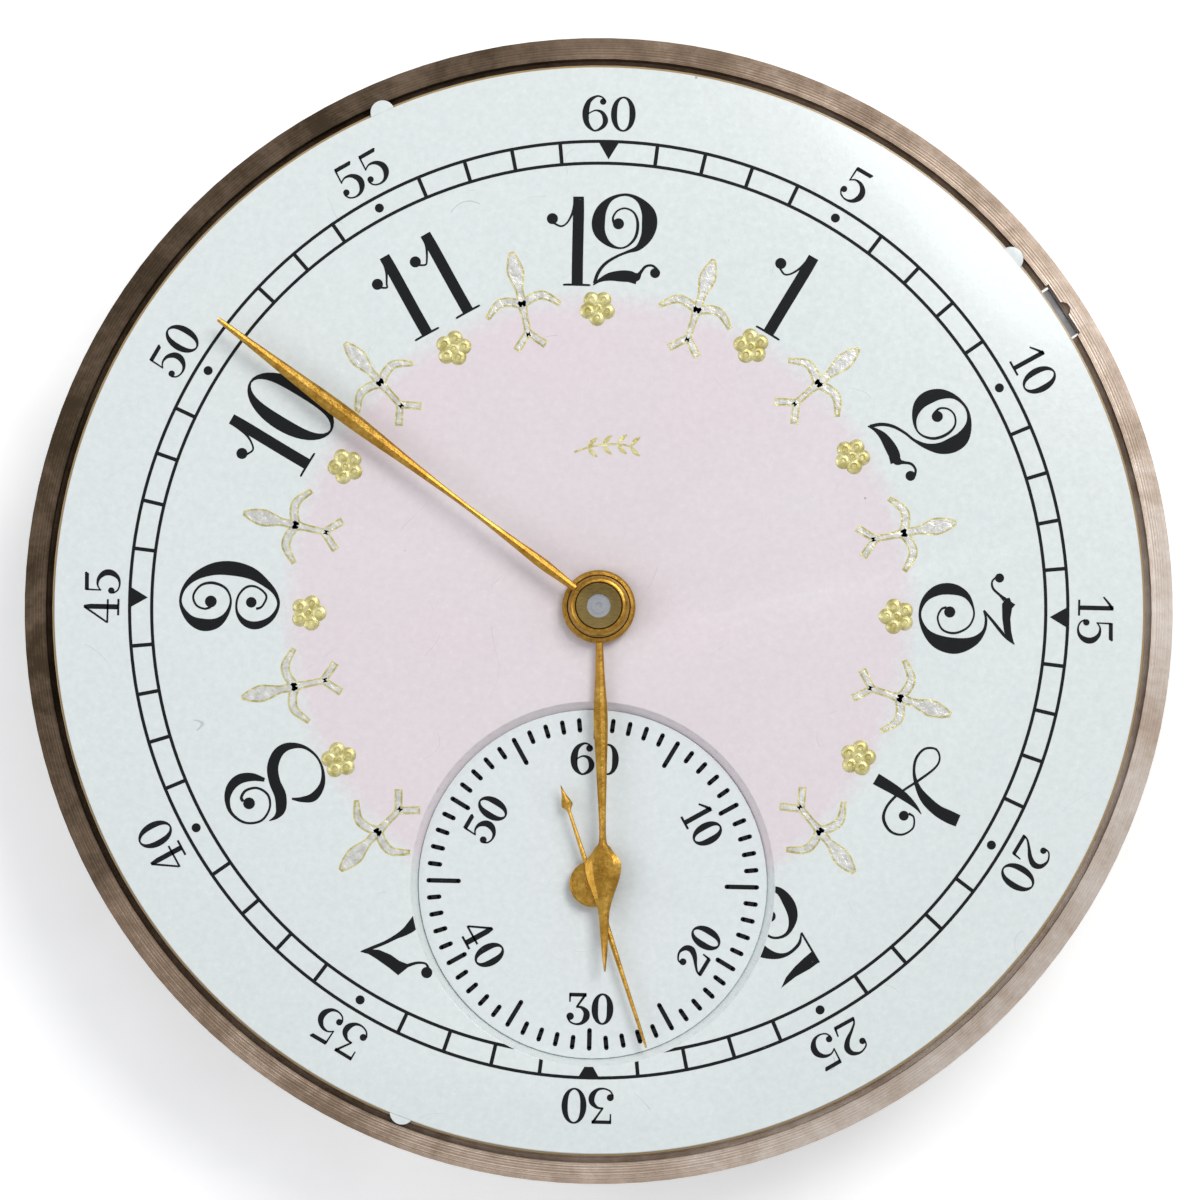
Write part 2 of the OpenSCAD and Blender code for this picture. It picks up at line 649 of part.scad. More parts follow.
module clutch_lever() {
  color([0.60, 0.62, 0.65]) difference() {
    union() {
      translate([0, 0, z_motion + 0.08]) {
        at(yoke_at) yoke_arms(0.8, 0.35);
      }
      at(yoke_pin_at, z_stem + 1.28) cylinder(r = 0.2, h = z_motion - z_stem - 1);
    }
    at(yoke_at, 0) cylinder(r = 0.45, h = 20);
  }
}

// ---- Going train ----
module center_pinion() {
  color([0.62, 0.64, 0.67]) difference() {
    union() {
      translate([0, 0, z_center_wheel - 0.9])
        spur(center_leaves, barrel_m, gap_on(center_leaves, bearing(center_at, barrel_at)), 0.7, 0.36, 0.7, 1.2);
      translate([0, 0, bridge_t + shake]) cylinder(r = 0.6, h = train_gap - 2 * shake);
      translate([0, 0, bridge_t - 0.28]) cylinder(r = 0.3, h = 1);
      translate([0, 0, bridge_t + 1]) cylinder(r = 0.5, h = z_minute_hand + 0.15 - bridge_t - 1);
      translate([0, 0, z_minute_hand]) cylinder(r = 0.28, h = 0.3);
    }
    translate([0, 0, z_minute_hand + 0.1]) cylinder(r = 0.13, h = 1);
  }
}

module center_wheel() {
  color([0.80, 0.66, 0.36]) translate([0, 0, z_center_wheel])
    crossed_wheel(center_teeth, center_m, bearing(center_at, third_at), wheel_t, 0.6, 5, 0.55, 1.3, 0.5);
}

module third_pinion() {
  a = bearing(third_at, center_at);
  color([0.62, 0.64, 0.67]) at(third_at)
    leaf_arbor(10, center_m, gap_on(10, a), z_plate - 0.45, 0.4, 0.35, pivot_radii[1]);
}

module third_wheel() {
  color([0.80, 0.66, 0.36]) at(third_at, z_third_wheel)
    crossed_wheel(third_teeth, third_m, bearing(third_at, fourth_at), wheel_t, 0.35, 5, 0.5, 0.95, 0.42);
}

module fourth_pinion() {
  a = bearing(fourth_at, third_at);
  color([0.62, 0.64, 0.67]) at(fourth_at) {
    leaf_arbor(10, third_m, gap_on(10, a), z_third_wheel - 0.05, 0.45, 0.33, pivot_radii[0]);
    translate([0, 0, z_plate]) cylinder(r = 0.12, h = z_second_hand + 0.1 - z_plate);
  }
}

module fourth_wheel() {
  color([0.80, 0.66, 0.36]) at(fourth_at, z_fourth_wheel)
    crossed_wheel(fourth_teeth, fourth_m, bearing(fourth_at, escape_at), wheel_t, 0.33, 5, 0.45, 0.9, 0.4);
}

// ---- Barrel ----
module barrel_drum() {
  color([0.80, 0.66, 0.36]) at(barrel_at) difference() {
    union() {
      translate([0, 0, z_barrel]) cylinder(r = 7.35, h = barrel_h, $fn = 120);
      translate([0, 0, z_barrel + 1.1])
        spur(barrel_teeth, barrel_m, bearing(barrel_at, center_at), 0.5);
    }
    translate([0, 0, z_barrel - 1]) cylinder(r = 6.9, h = barrel_h + 0.8, $fn = 120);
    cylinder(r = 0.83, h = 9);
    translate([0, 0, z_barrel - 1]) cylinder(r = 7.1, h = 1.25, $fn = 120);
  }
}

module barrel_cover() {
  color([0.80, 0.66, 0.36]) at(barrel_at, z_barrel) tube(7.1, 0.83, 0.25);
}

module mainspring() {
  color([0.40, 0.45, 0.55]) at(barrel_at, z_barrel + 0.33) spiral(2.7, 6.7, 9, 0.14, 1.15, 30);
}

module barrel_arbor() {
  color([0.62, 0.64, 0.67]) at(barrel_at) {
    translate([0, 0, z_barrel + 0.3]) cylinder(r = 2.1, h = 1.2);
    translate([0, 0, 0.86]) cylinder(r = 0.8, h = z_plate - 0.06 - 0.86);
    translate([0, 0, z_plate - 0.1]) cylinder(r = 0.5, h = 1);
    translate([-0.55, -0.55, 0.3]) cube([1.1, 1.1, 0.7]);
  }
}

module ratchet_wheel() {
  color([0.70, 0.72, 0.75]) at(barrel_at, 0.3) difference() {
    spur(ratchet_teeth, winding_m, ratchet_phase, 0.45);
    translate([-0.55, -0.55, -1]) cube([1.1, 1.1, 3]);
  }
}

module ratchet_screw() {
  color([0.33, 0.36, 0.46]) at(barrel_at, 0.06) difference() {
    cylinder(r = 1.5, h = 0.24);
    translate([-2, -0.12, -0.01]) cube([4, 0.24, 0.13]);
  }
}

// ---- Winding work ----
module crown_wheel() {
  color([0.70, 0.72, 0.75]) at(crown_at, 0.3) difference() {
    spur(crown_teeth, winding_m, crown_phase, 0.45);
    translate([0, 0, -1]) cylinder(r = 1.53, h = 3);
  }
}

module along_stem(y) { translate([0, y, z_stem]) rotate([-90, 0, 0]) children(); }

module winding_arbor() {
  color([0.62, 0.64, 0.67]) difference() {
    union() {
      along_stem(14.1) cylinder(r = 0.77, h = 5.5);
      along_stem(19.5) cylinder(r = 0.97, h = 0.75);
    }
    translate([-0.4, 18, z_stem - 0.4]) cube([0.8, 4, 0.8]);
  }
}

module winding_pinion() {
  color([0.70, 0.72, 0.75]) along_stem(18.42) difference() {
    spur(stem_teeth, winding_m, stem_phase, 0.95, 0.4, 0.8, 1.2);
    translate([0, 0, -1]) cylinder(r = 0.77, h = 3);
  }
}
// The winding pinion has a gap where the crown wheel's nearest tooth crosses the stem
crown_phase = gap_on(crown_teeth, bearing(crown_at, barrel_at));
crown_step = 360 / crown_teeth;
crown_tooth = (crown_phase - 90) - crown_step * round((crown_phase - 90) / crown_step);
stem_phase = 90 + crown_tooth * crown_teeth / stem_teeth + 180 / stem_teeth;

module winding_clutch() {
  color([0.70, 0.72, 0.75]) along_stem(16.6) difference() {
    union() {
      cylinder(r = 1.9, h = 0.45);
      cylinder(r = 1.25, h = 1.6);
      translate([0, 0, 1.05]) cylinder(r = 1.9, h = 0.6);
      // face teeth towards the setting wheel
      for (i = [0 : 11]) rotate([0, 0, i * 30]) translate([1.3, -0.16, -0.25]) cube([0.55, 0.32, 0.3]);
    }
    translate([0, 0, -1]) cylinder(r = 0.8, h = 4);
  }
}

module click() {
  color([0.60, 0.62, 0.65]) at(click_at, 0.32, click_turn) difference() {
    linear_extrude(0.4) {
      circle(r = 0.95);
      polygon([[-0.6, -0.6], [-0.95, 0.75], [-1.25, 1.75], [-1.32, 1.92], [-1.66, 1.95], [-1.55, 2.1],
               [-1.1, 2.25], [-0.7, 1.9], [0.85, 0.35], [0.7, -0.5]]);
      polygon([[-0.3, -0.8], [0.2, -2], [0.75, -1.95], [0.9, -0.2]]);
    }
    translate([0, 0, -1]) cylinder(r = 0.43, h = 4);
  }
}

// ---- Escapement ----
// Club teeth: locking toe leading, heel behind it, and an undercut front
escape_lead = 24;
function escape_tooth(a) =
  [polar(escape_r - 0.85, a - 21), polar(escape_r - 0.8, a - 7.5), polar(escape_r - 0.3, a - 5),
   polar(escape_r, a - 4), polar(escape_r - 0.09, a), polar(escape_r - 0.35, a - 1.6),
   polar(escape_r - 0.85, a - 3.4)];
escape_toe = line_of_escape - 33.25 - 0.2;

module escape_wheel() {
  color([0.80, 0.66, 0.36]) at(escape_at, z_escape_wheel) difference() {
    linear_extrude(escape_t)
      polygon([for (i = [0 : 14], p = escape_tooth(escape_toe + escape_lead * i)) p]);
    translate([0, 0, -1]) difference() {
      tube(2.3, 0.8, 3);
      for (i = [0 : 3]) rotate([0, 0, 90 * i]) translate([0, -0.16, -1]) cube([4, 0.32, 5]);
    }
    translate([0, 0, -1]) cylinder(r = 0.28, h = 3);
  }
}

module escape_pinion() {
  a = bearing(escape_at, fourth_at);
  color([0.62, 0.64, 0.67]) at(escape_at)
    leaf_arbor(8, fourth_m, gap_on(8, a), z_fourth_wheel - 0.15, 0.5, 0.28, pivot_radii[2]);
}

// The pallet fork is drawn with its arbor at the origin and the balance along +X
module pallet_frame() { at(pallet_at, 0, line_of_escape) children(); }
stone_w = escape_r * 6.5 * PI / 180;
module stone_place(side) {
  rotate([0, 0, side * 120]) translate([escape_r * tan(30), 0, 0]) children();
}
// Stone on its side of the wheel: local X runs away from the arbor and out * Y away from the wheel.
// With the fork in the middle its locking corner is just clear of the wheel.
fork_swing = 5;
lock_depth = 0.054;
toe_drop = 0.09;
stone_lift = 6;
module stone_body(side) {
  out = -side;
  rt = escape_r * tan(30);
  lock_x = -side * stone_w / 2;
  lock_y = fork_swing * PI / 180 * (rt + lock_x) - toe_drop - lock_depth;
  release_y = lock_y - stone_lift * PI / 180 * rt;
  stone_place(side) linear_extrude(fork_t)
    polygon([[lock_x, out * lock_y], [-lock_x, out * release_y], [-lock_x, out], [lock_x, out]]);
}

module pallet_fork() {
  color([0.62, 0.64, 0.67]) pallet_frame() difference() {
    union() {
      translate([0, 0, z_fork]) linear_extrude(fork_t) {
        // arms with a pad round each stone
        for (side = [-1, 1]) {
          polygon([[-0.4, 0], [-0.39, side * 1.6], [0.36, side * 1.9], [0.45, 0]]);
          stone_place(side) translate([-0.6, side < 0 ? 0.35 : -1.35]) square([1.05, 1]);
        }
        circle(r = 0.62);
        polygon([[0, -0.22], [3.2, -0.14], [3.2, 0.14], [0, 0.22]]);
        // fork with its two horns
        polygon([[3.1, -0.14], [3.5, -0.42], [4.05, -0.62], [4, -0.2], [3.82, -0.2], [3.82, 0.2], [4, 0.2],
                 [4.05, 0.62], [3.5, 0.42], [3.1, 0.14]]);
      }
      // guard pin
      translate([3.72, 0, z_fork - 0.4]) cylinder(r = 0.08, h = 0.5);
    }
    cylinder(r = 0.25, h = 9);
    translate([0, 0, z_fork - 1]) for (s = [-1, 1]) scale([1, 1, 10]) stone_body(s);
  }
}

module pallet_stones() {
  color([0.72, 0.12, 0.22]) pallet_frame() translate([0, 0, z_fork]) for (s = [-1, 1]) stone_body(s);
}

module pallet_arbor() {
  color([0.62, 0.64, 0.67]) at(pallet_at) {
    translate([0, 0, z_fork - 0.35]) cylinder(r = 0.1, h = z_plate - z_fork + 0.6);
    translate([0, 0, z_fork - 0.12]) cylinder(r = 0.25, h = z_plate - z_fork + 0.1);
  }
}

// ---- Balance ----
// The balance rests a quarter turn from the middle, so that its jewel is out of the fork
balance_turn = line_of_escape + 180 - 90;

module balance_staff() {
  color([0.62, 0.64, 0.67]) at(balance_at) {
    translate([0, 0, bridge_t - 0.75]) cylinder(r = 0.08, h = z_plate - bridge_t + 1.05);
    translate([0, 0, bridge_t - 0.42]) cylinder(r = 0.25, h = 0.6);
    translate([0, 0, z_rim - 0.02]) cylinder(r = 0.45, h = 0.7);
    translate([0, 0, z_rim + 0.5]) cylinder(r = 0.3, h = z_plate - z_rim - 0.55);
  }
}

module balance_wheel() {
  rim_in = balance_r - 0.6;
  color([0.80, 0.68, 0.42]) at(balance_at, z_rim, balance_turn) difference() {
    union() {
      tube(balance_r, rim_in, 0.6);
      translate([-rim_in - 0.2, -0.5, 0]) cube([2 * rim_in + 0.4, 1, 0.18]);
      cylinder(r = 1, h = 0.18);
    }
    translate([0, 0, -1]) cylinder(r = 0.45, h = 3);
    translate([0, 0, 0.3]) at_balance_screws() translate([0, 0, balance_r - 0.5]) cylinder(r = 0.12, h = 1);
    // cuts that leave each half of the rim free at one end
    for (a = [0, 180]) rotate([0, 0, a]) translate([rim_in - 0.5, 0.75, -1]) cube([3, 0.25, 3]);
  }
}

module at_balance_screws() {
  for (side = [0, 180], k = [1 : 8]) rotate([0, 0, side + k * 21 - 2]) rotate([0, 90, 0]) children();
}

module balance_screws() {
  color([0.82, 0.66, 0.33]) at(balance_at, z_rim + 0.3, balance_turn)
    at_balance_screws()
      {
        translate([0, 0, balance_r + 0.005]) cylinder(r = 0.26, h = 0.42);
        translate([0, 0, balance_r - 0.5]) cylinder(r = 0.12, h = 0.6);
      }
}

module roller_table() {
  color([0.62, 0.64, 0.67]) at(balance_at, z_fork - 0.36, balance_turn) difference() {
    cylinder(r = 1.35, h = 0.2);
    translate([0, 0, -1]) cylinder(r = 0.3, h = 3);
    translate([1.55, 0, -1]) cylinder(r = 0.32, h = 3);
  }
}

module impulse_jewel() {
  color([0.72, 0.12, 0.22]) at(balance_at, z_fork - 0.16, balance_turn)
    translate([1.1, 0, 0]) cylinder(r = 0.15, h = 0.5);
}

module hairspring() {
  turns = 12;
  end = bearing(balance_at, stud_at) - 7;
  color([0.25, 0.32, 0.55]) at(balance_at, bridge_t - 0.32, end)
    spiral(0.62, spring_r, turns, 0.045, 0.2, 24);
}

// Regulator: a ring round the balance's upper setting, with a pointer and two curb pins
module regulator() {
  color([0.62, 0.64, 0.67]) at(balance_at, 0, bearing(balance_at, cock_foot_at)) {
    difference() {
      translate([0, 0, cock_z - 0.25]) linear_extrude(0.23) {
        circle(r = 1.85);
        polygon([[0, -0.9], [4, -0.3], [7.2, -0.06], [7.2, 0.06], [4, 0.3], [0, 0.9]]);
        polygon([[0, -0.8], [0, 0.8], [-3.3, 0.32], [-3.3, -0.32]]);
      }
      cylinder(r = 1.28, h = 3);
    }
    for (gap = [-0.1, 0.1]) translate([-spring_r - gap, 0, cock_z - 0.1]) cylinder(r = 0.06, h = 0.95);
  }
}

pillar_plate();
dial_plate();
seconds_dial();
dial_feet();
dial_foot_screws();
barrel_bridge();
train_bridge();
pallet_cock();
balance_cock();
bridge_screws();
cock_screws();
plate_jewels();
bridge_jewels();
cap_jewels();
hairspring_stud();
banking_pins();
crown_wheel_core();
click_screw();
click_spring();
minute_wheel_stud();
setting_cap();
hour_hand();
hour_wheel();
minute_hand();
cannon_pinion();
center_pinion();
center_wheel();
minute_wheel();
setting_wheel();
clutch_wheel();
setting_lever();
clutch_lever();
seconds_hand();
fourth_pinion();
fourth_wheel();
third_pinion();
third_wheel();
barrel_drum();
barrel_cover();
mainspring();
barrel_arbor();
ratchet_wheel();
ratchet_screw();
crown_wheel();
winding_arbor();
winding_pinion();
winding_clutch();
click();
escape_pinion();
escape_wheel();
pallet_arbor();
pallet_fork();
pallet_stones();
balance_staff();
balance_wheel();
balance_screws();
roller_table();
impulse_jewel();
hairspring();
regulator();
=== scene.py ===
# An open face watch movement of the 16 size, lying dial up: plates, train, enamel dial and gilt hands.
# All lengths are metres; MM turns millimetres into metres.
import math

import bpy
from mathutils import Matrix, Vector


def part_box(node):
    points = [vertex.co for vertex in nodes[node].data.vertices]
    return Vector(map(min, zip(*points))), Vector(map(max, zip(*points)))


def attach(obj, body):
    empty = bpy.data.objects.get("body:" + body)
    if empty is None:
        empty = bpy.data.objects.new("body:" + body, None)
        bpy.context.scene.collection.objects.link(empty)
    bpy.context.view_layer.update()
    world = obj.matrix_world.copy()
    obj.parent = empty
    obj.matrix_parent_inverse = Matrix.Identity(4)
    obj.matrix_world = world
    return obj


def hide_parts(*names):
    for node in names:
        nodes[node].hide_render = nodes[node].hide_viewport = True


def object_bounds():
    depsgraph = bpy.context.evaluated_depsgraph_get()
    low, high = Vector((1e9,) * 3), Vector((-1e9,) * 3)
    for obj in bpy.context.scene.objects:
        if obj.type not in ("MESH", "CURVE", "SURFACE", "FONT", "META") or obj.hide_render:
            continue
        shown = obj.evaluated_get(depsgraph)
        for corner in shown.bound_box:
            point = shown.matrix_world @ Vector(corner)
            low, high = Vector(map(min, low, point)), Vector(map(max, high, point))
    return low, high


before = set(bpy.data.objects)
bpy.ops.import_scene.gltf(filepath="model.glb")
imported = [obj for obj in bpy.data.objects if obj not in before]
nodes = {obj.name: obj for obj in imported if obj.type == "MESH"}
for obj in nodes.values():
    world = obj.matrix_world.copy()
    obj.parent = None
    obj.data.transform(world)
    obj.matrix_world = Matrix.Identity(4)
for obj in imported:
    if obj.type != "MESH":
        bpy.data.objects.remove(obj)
cad_low, cad_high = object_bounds()
MM = 0.001
SAME_POINT = 0.0005 * MM  # points closer than this are one


# ---- Table, lamps and camera ----
# A plain pale table with a large soft lamp up and to the right, a weaker one at the left, and an even
# pale room. The camera looks down on the dial, turned a little, as the movement lies a little turned.
TABLE_SIZE = 6
TABLE_GAP = 0.02 * MM
TABLE_DARK = (0.90, 0.90, 0.90)
TABLE_LIGHT = (0.93, 0.93, 0.93)
TABLE_GLOW = 0.34  # lifts the table towards white, for the camera alone
TABLE_GRAIN = 300
ROOM_COLOUR = (0.95, 0.97, 1.0, 1)
ROOM_LIGHT = 0.56
SENSOR_WIDTH = 36
CAMERA_DISTANCE = 210 * MM
CAMERA_TILT = math.radians(3.5)
CAMERA_TURN = math.radians(1.25)
FRAME_WIDTH = 45.12 * MM
FRAME_MIDDLE = Vector((0.04 * MM, 0.28 * MM, 6.8 * MM))
KEY_LAMP = dict(place=(0.16, 0.20, 0.34), size=0.22, power=0.80, colour=(1.0, 0.985, 0.96))
FILL_LAMP = dict(place=(-0.26, -0.02, 0.22), size=0.20, power=0.20, colour=(0.97, 0.98, 1.0))


def by_hand(kind, **settings):
    """Adds a primitive with nothing else selected, and returns it."""
    bpy.ops.object.select_all(action="DESELECT")
    kind(**settings)
    return bpy.context.active_object


def pick(piece):
    """Makes the piece the one that is selected and active."""
    bpy.ops.object.select_all(action="DESELECT")
    piece.select_set(True)
    bpy.context.view_layer.objects.active = piece


def new_piece(name, mesh):
    """An object of this mesh in the scene, selected."""
    piece = bpy.data.objects.new(name, mesh)
    bpy.context.scene.collection.objects.link(piece)
    pick(piece)
    return piece


def edit_all():
    """Opens the selected piece for editing, with all of its mesh selected."""
    bpy.ops.object.mode_set(mode="EDIT")
    bpy.ops.mesh.select_all(action="SELECT")


def close_outwards():
    """Turns the faces of the open piece outwards and closes it."""
    bpy.ops.mesh.normals_make_consistent(inside=False)
    bpy.ops.object.mode_set(mode="OBJECT")


def give(piece, material):
    """The piece has this material and no other."""
    piece.data.materials.clear()
    piece.data.materials.append(material)


def file_under(piece, body, stands_for=None):
    """The piece rides on the body, in place of the planned node that it stands for."""
    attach(piece, body)
    if stands_for:
        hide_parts(stands_for)


def add_lamp(name, place, size, power, colour):
    """A round soft lamp that shines on the middle of the table."""
    lamp = by_hand(bpy.ops.object.light_add, type="AREA", location=place)
    lamp.name = name
    lamp.rotation_euler = (Vector((0, 0, 0)) - Vector(place)).to_track_quat("-Z", "Y").to_euler()
    lamp.data.shape = "DISK"
    lamp.data.size = size
    lamp.data.energy = power
    lamp.data.color = colour


def new_material(name):
    """A named material with its node tree and its shader."""
    material = bpy.data.materials.new(name)
    material.use_nodes = True
    tree = material.node_tree
    return material, tree, tree.nodes["Principled BSDF"]


def node(tree, kind, inputs=None, **settings):
    """Adds a node; inputs are numbers, colours or the sockets of other nodes."""
    made = tree.nodes.new(kind)
    for key, value in settings.items():
        setattr(made, key, value)
    for key, value in (inputs or {}).items():
        if isinstance(value, bpy.types.NodeSocket):
            tree.links.new(value, made.inputs[key])
        else:
            made.inputs[key].default_value = value
    return made


def steps(tree, factor, stops):
    """A colour ramp through the stops, each a place and a colour."""
    ramp = node(tree, "ShaderNodeValToRGB", {"Fac": factor})
    while len(ramp.color_ramp.elements) < len(stops):
        ramp.color_ramp.elements.new(0.5)
    for element, (place, colour) in zip(ramp.color_ramp.elements, stops):
        element.position = place
        element.color = (*colour, 1)
    return ramp.outputs["Color"]


table = by_hand(bpy.ops.mesh.primitive_plane_add, size=TABLE_SIZE, location=(0, 0, cad_low.z - TABLE_GAP))
table.name = "table"
table_paper, tree, shader = new_material("pale table")
seen = node(tree, "ShaderNodeLightPath")
where = node(tree, "ShaderNodeTexCoord").outputs["Object"]
grain = node(tree, "ShaderNodeTexNoise", {"Vector": where, "Scale": TABLE_GRAIN})
shade = steps(tree, grain.outputs["Fac"], [(0.3, TABLE_DARK), (0.7, TABLE_LIGHT)])
tree.links.new(shade, shader.inputs["Base Color"])
tree.links.new(shade, shader.inputs["Emission Color"])
straight = node(tree, "ShaderNodeMath", {0: seen.outputs["Is Camera Ray"], 1: TABLE_GLOW},
                operation="MULTIPLY")
tree.links.new(straight.outputs[0], shader.inputs["Emission Strength"])
shader.inputs["Roughness"].default_value = 0.9
table.data.materials.append(table_paper)

add_lamp("key lamp", **KEY_LAMP)
add_lamp("fill lamp", **FILL_LAMP)

world = bpy.data.worlds.new("room")
bpy.context.scene.world = world
world.use_nodes = True
room = world.node_tree
room.nodes["Background"].inputs["Color"].default_value = ROOM_COLOUR
room.nodes["Background"].inputs["Strength"].default_value = ROOM_LIGHT
white = node(room, "ShaderNodeBackground", {"Color": (1, 1, 1, 1), "Strength": 1.0})
path = node(room, "ShaderNodeLightPath")
both = node(room, "ShaderNodeMixShader", {0: path.outputs["Is Camera Ray"]})
room.links.new(room.nodes["Background"].outputs[0], both.inputs[1])
room.links.new(white.outputs[0], both.inputs[2])
room.links.new(both.outputs[0], room.nodes["World Output"].inputs["Surface"])

camera = by_hand(bpy.ops.object.camera_add)
camera.name = "camera"
camera.data.sensor_width = SENSOR_WIDTH
camera.data.lens = SENSOR_WIDTH * CAMERA_DISTANCE / FRAME_WIDTH
camera.data.clip_start = 0.005
camera.data.clip_end = 20
away = Vector((0, -math.sin(CAMERA_TILT), math.cos(CAMERA_TILT)))
camera.location = FRAME_MIDDLE + away * CAMERA_DISTANCE
upright = Matrix.Rotation(CAMERA_TILT, 4, "X") @ Matrix.Rotation(CAMERA_TURN, 4, "Z")
camera.rotation_euler = upright.to_euler()
bpy.context.scene.camera = camera
bpy.context.scene.view_settings.view_transform = "Standard"


# ---- Pillar plate and rim ----
# The plate that carries the train and the dial, turned from nickel alloy and gone brown with age.
# Its rim stands up round the dial, with fine lines left by the lathe, scratches and worn bright spots.
# One side is darkened with painted shade and the other lightened with painted light.
NICKEL_AGED_AND_SHADED = [(0.0, (0.06, 0.04, 0.022)), (0.40, (0.24, 0.17, 0.12)), (0.70, (0.52, 0.41, 0.33)),
               (1.0, (0.84, 0.76, 0.69))]
# Painted shade: the plate is painted darkest towards this turned side and lighter towards the opposite one.
SHADED_SIDE_TURN = math.radians(28)  # the side of the plate that is darkest


def object_place(tree, centre=(0, 0, 0), turn=0.0, scale=(1, 1, 1)):
    """Object coordinates, moved so that centre is their origin, then turned and scaled."""
    coords = node(tree, "ShaderNodeTexCoord")
    moved = node(tree, "ShaderNodeVectorMath", {0: coords.outputs["Object"], 1: centre},
                 operation="SUBTRACT")
    return node(tree, "ShaderNodeMapping",
                {"Vector": moved.outputs[0], "Rotation": (0, 0, turn), "Scale": scale}).outputs[0]


def noise(tree, place, size, detail=4.0, roughness=0.55, distortion=0.0):
    """Noise whose blotches are about size metres across, from 0 to 1."""
    return node(tree, "ShaderNodeTexNoise",
                {"Vector": place, "Scale": 1 / size, "Detail": detail, "Roughness": roughness,
                 "Distortion": distortion}).outputs["Fac"]


def spread(tree, value, low, high, to_low=0.0, to_high=1.0):
    """The value's range from low to high, laid over to_low to to_high."""
    return node(tree, "ShaderNodeMapRange",
                {0: value, 1: low, 2: high, 3: to_low, 4: to_high}).outputs[0]


def calculate(tree, operation, a, b=0.0):
    return node(tree, "ShaderNodeMath", {0: a, 1: b}, operation=operation).outputs[0]


def blend(tree, a, share_a, b, share_b):
    """The sum of two values, each times its share."""
    return calculate(tree, "ADD", calculate(tree, "MULTIPLY", a, share_a),
                     calculate(tree, "MULTIPLY", b, share_b))


def distance_from(tree, place):
    """How far the surface is from the vertical axis through the origin of place."""
    flat = node(tree, "ShaderNodeVectorMath", {0: place, 1: (1, 1, 0)}, operation="MULTIPLY")
    return node(tree, "ShaderNodeVectorMath", {0: flat.outputs[0]}, operation="LENGTH").outputs["Value"]


def lathe_lines(tree, place, pitch):
    """Fine rings about the origin of place, of uneven depth, about pitch metres apart."""
    return node(tree, "ShaderNodeTexNoise",
                {"W": distance_from(tree, place), "Scale": 1 / pitch, "Detail": 3.0},
                noise_dimensions="1D").outputs["Fac"]


def relief(tree, shader, height, depth):
    """Raises the surface by depth metres where height is 1."""
    bump = node(tree, "ShaderNodeBump", {"Height": height, "Distance": depth, "Strength": 1.0})
    tree.links.new(bump.outputs[0], shader.inputs["Normal"])


def aged_nickel(name):
    """Nickel gone brown in blotches and spots, with lines from the lathe, and painted shade and light:
    darker towards one side, lighter towards the other.
    """
    material, tree, shader = new_material(name)
    place = object_place(tree)
    blotches = noise(tree, place, 5 * MM, 6, 0.62, 0.6)
    spots = noise(tree, object_place(tree, (0.01, 0.02, 0)), 0.5 * MM, 5, 0.7)
    lines = lathe_lines(tree, place, 0.05 * MM)
    # Painted shade and light: a ramp across the plate, darker at one side and lighter at the other, added
    # to the real tarnish.
    side = node(tree, "ShaderNodeSeparateXYZ", {0: object_place(tree, turn=SHADED_SIDE_TURN)})
    painted_side_shade = spread(tree, side.outputs["X"], -20 * MM, 20 * MM, -0.34, 0.32)
    tarnish_and_side_shade = calculate(tree, "ADD", painted_side_shade, blend(tree, blotches, 0.8, spots, 0.35))
    turning = calculate(tree, "MULTIPLY", calculate(tree, "SUBTRACT", lines, 0.5), 0.25)
    tarnish_and_side_shade = calculate(tree, "ADD", tarnish_and_side_shade, turning)
    tree.links.new(steps(tree, spread(tree, tarnish_and_side_shade, 0.15, 1.05), NICKEL_AGED_AND_SHADED), shader.inputs["Base Color"])
    shader.inputs["Metallic"].default_value = 0.85
    tree.links.new(spread(tree, tarnish_and_side_shade, 0.2, 1.0, 0.62, 0.34), shader.inputs["Roughness"])
    relief(tree, shader, calculate(tree, "ADD", lines, calculate(tree, "MULTIPLY", spots, 0.5)), 0.02 * MM)
    return material


give(nodes["pillar_plate"], aged_nickel("aged nickel plate with painted side shade"))


# ---- Enamel dial ----
# A copper disc with white enamel fired on it, the middle sprayed a soft pink, and a second sunk disc
# for the seconds soldered behind a bevelled window. Wear has left specks and scratches on it.
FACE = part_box("dial_plate")[1].z
seconds_low, seconds_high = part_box("seconds_dial")
SECONDS_FACE = seconds_high.z
SECONDS_PLACE = Vector(((seconds_low.x + seconds_high.x) / 2, (seconds_low.y + seconds_high.y) / 2, 0))
WINDOW = 6.84 * MM
PINK_EDGE = 11.75 * MM
COPPER_BELOW = 6.80 * MM  # height under which the dial's edge shows its copper
COPPER_BEYOND = 20.47 * MM
SPECK_SPACING = 2.1 * MM
DIRT = (0.16, 0.16, 0.16)
DIAL_WHITE = (0.775, 0.825, 0.82)
DIAL_PINK = (0.805, 0.715, 0.75)
SECONDS_WHITE = (0.775, 0.825, 0.83)
EDGE_COPPER = (0.40, 0.27, 0.12)


def fired(name, width, segments, material):
    """A copy of a planned enamel disc with its sharp edges rounded, shown in its place."""
    piece = new_piece(name + "_fired", nodes[name].data.copy())
    edit_all()
    bpy.ops.mesh.remove_doubles(threshold=SAME_POINT)
    bpy.ops.mesh.dissolve_limited(angle_limit=math.radians(0.6))
    bpy.ops.object.mode_set(mode="OBJECT")
    bevel = piece.modifiers.new("edges", "BEVEL")
    bevel.width = width
    bevel.segments = segments
    bevel.limit_method = "ANGLE"
    bevel.angle_limit = math.radians(30)
    bevel.use_clamp_overlap = True
    bpy.ops.object.modifier_apply(modifier=bevel.name)
    bpy.ops.object.shade_smooth_by_angle(angle=math.radians(28))
    give(piece, material)
    file_under(piece, "plate", name)


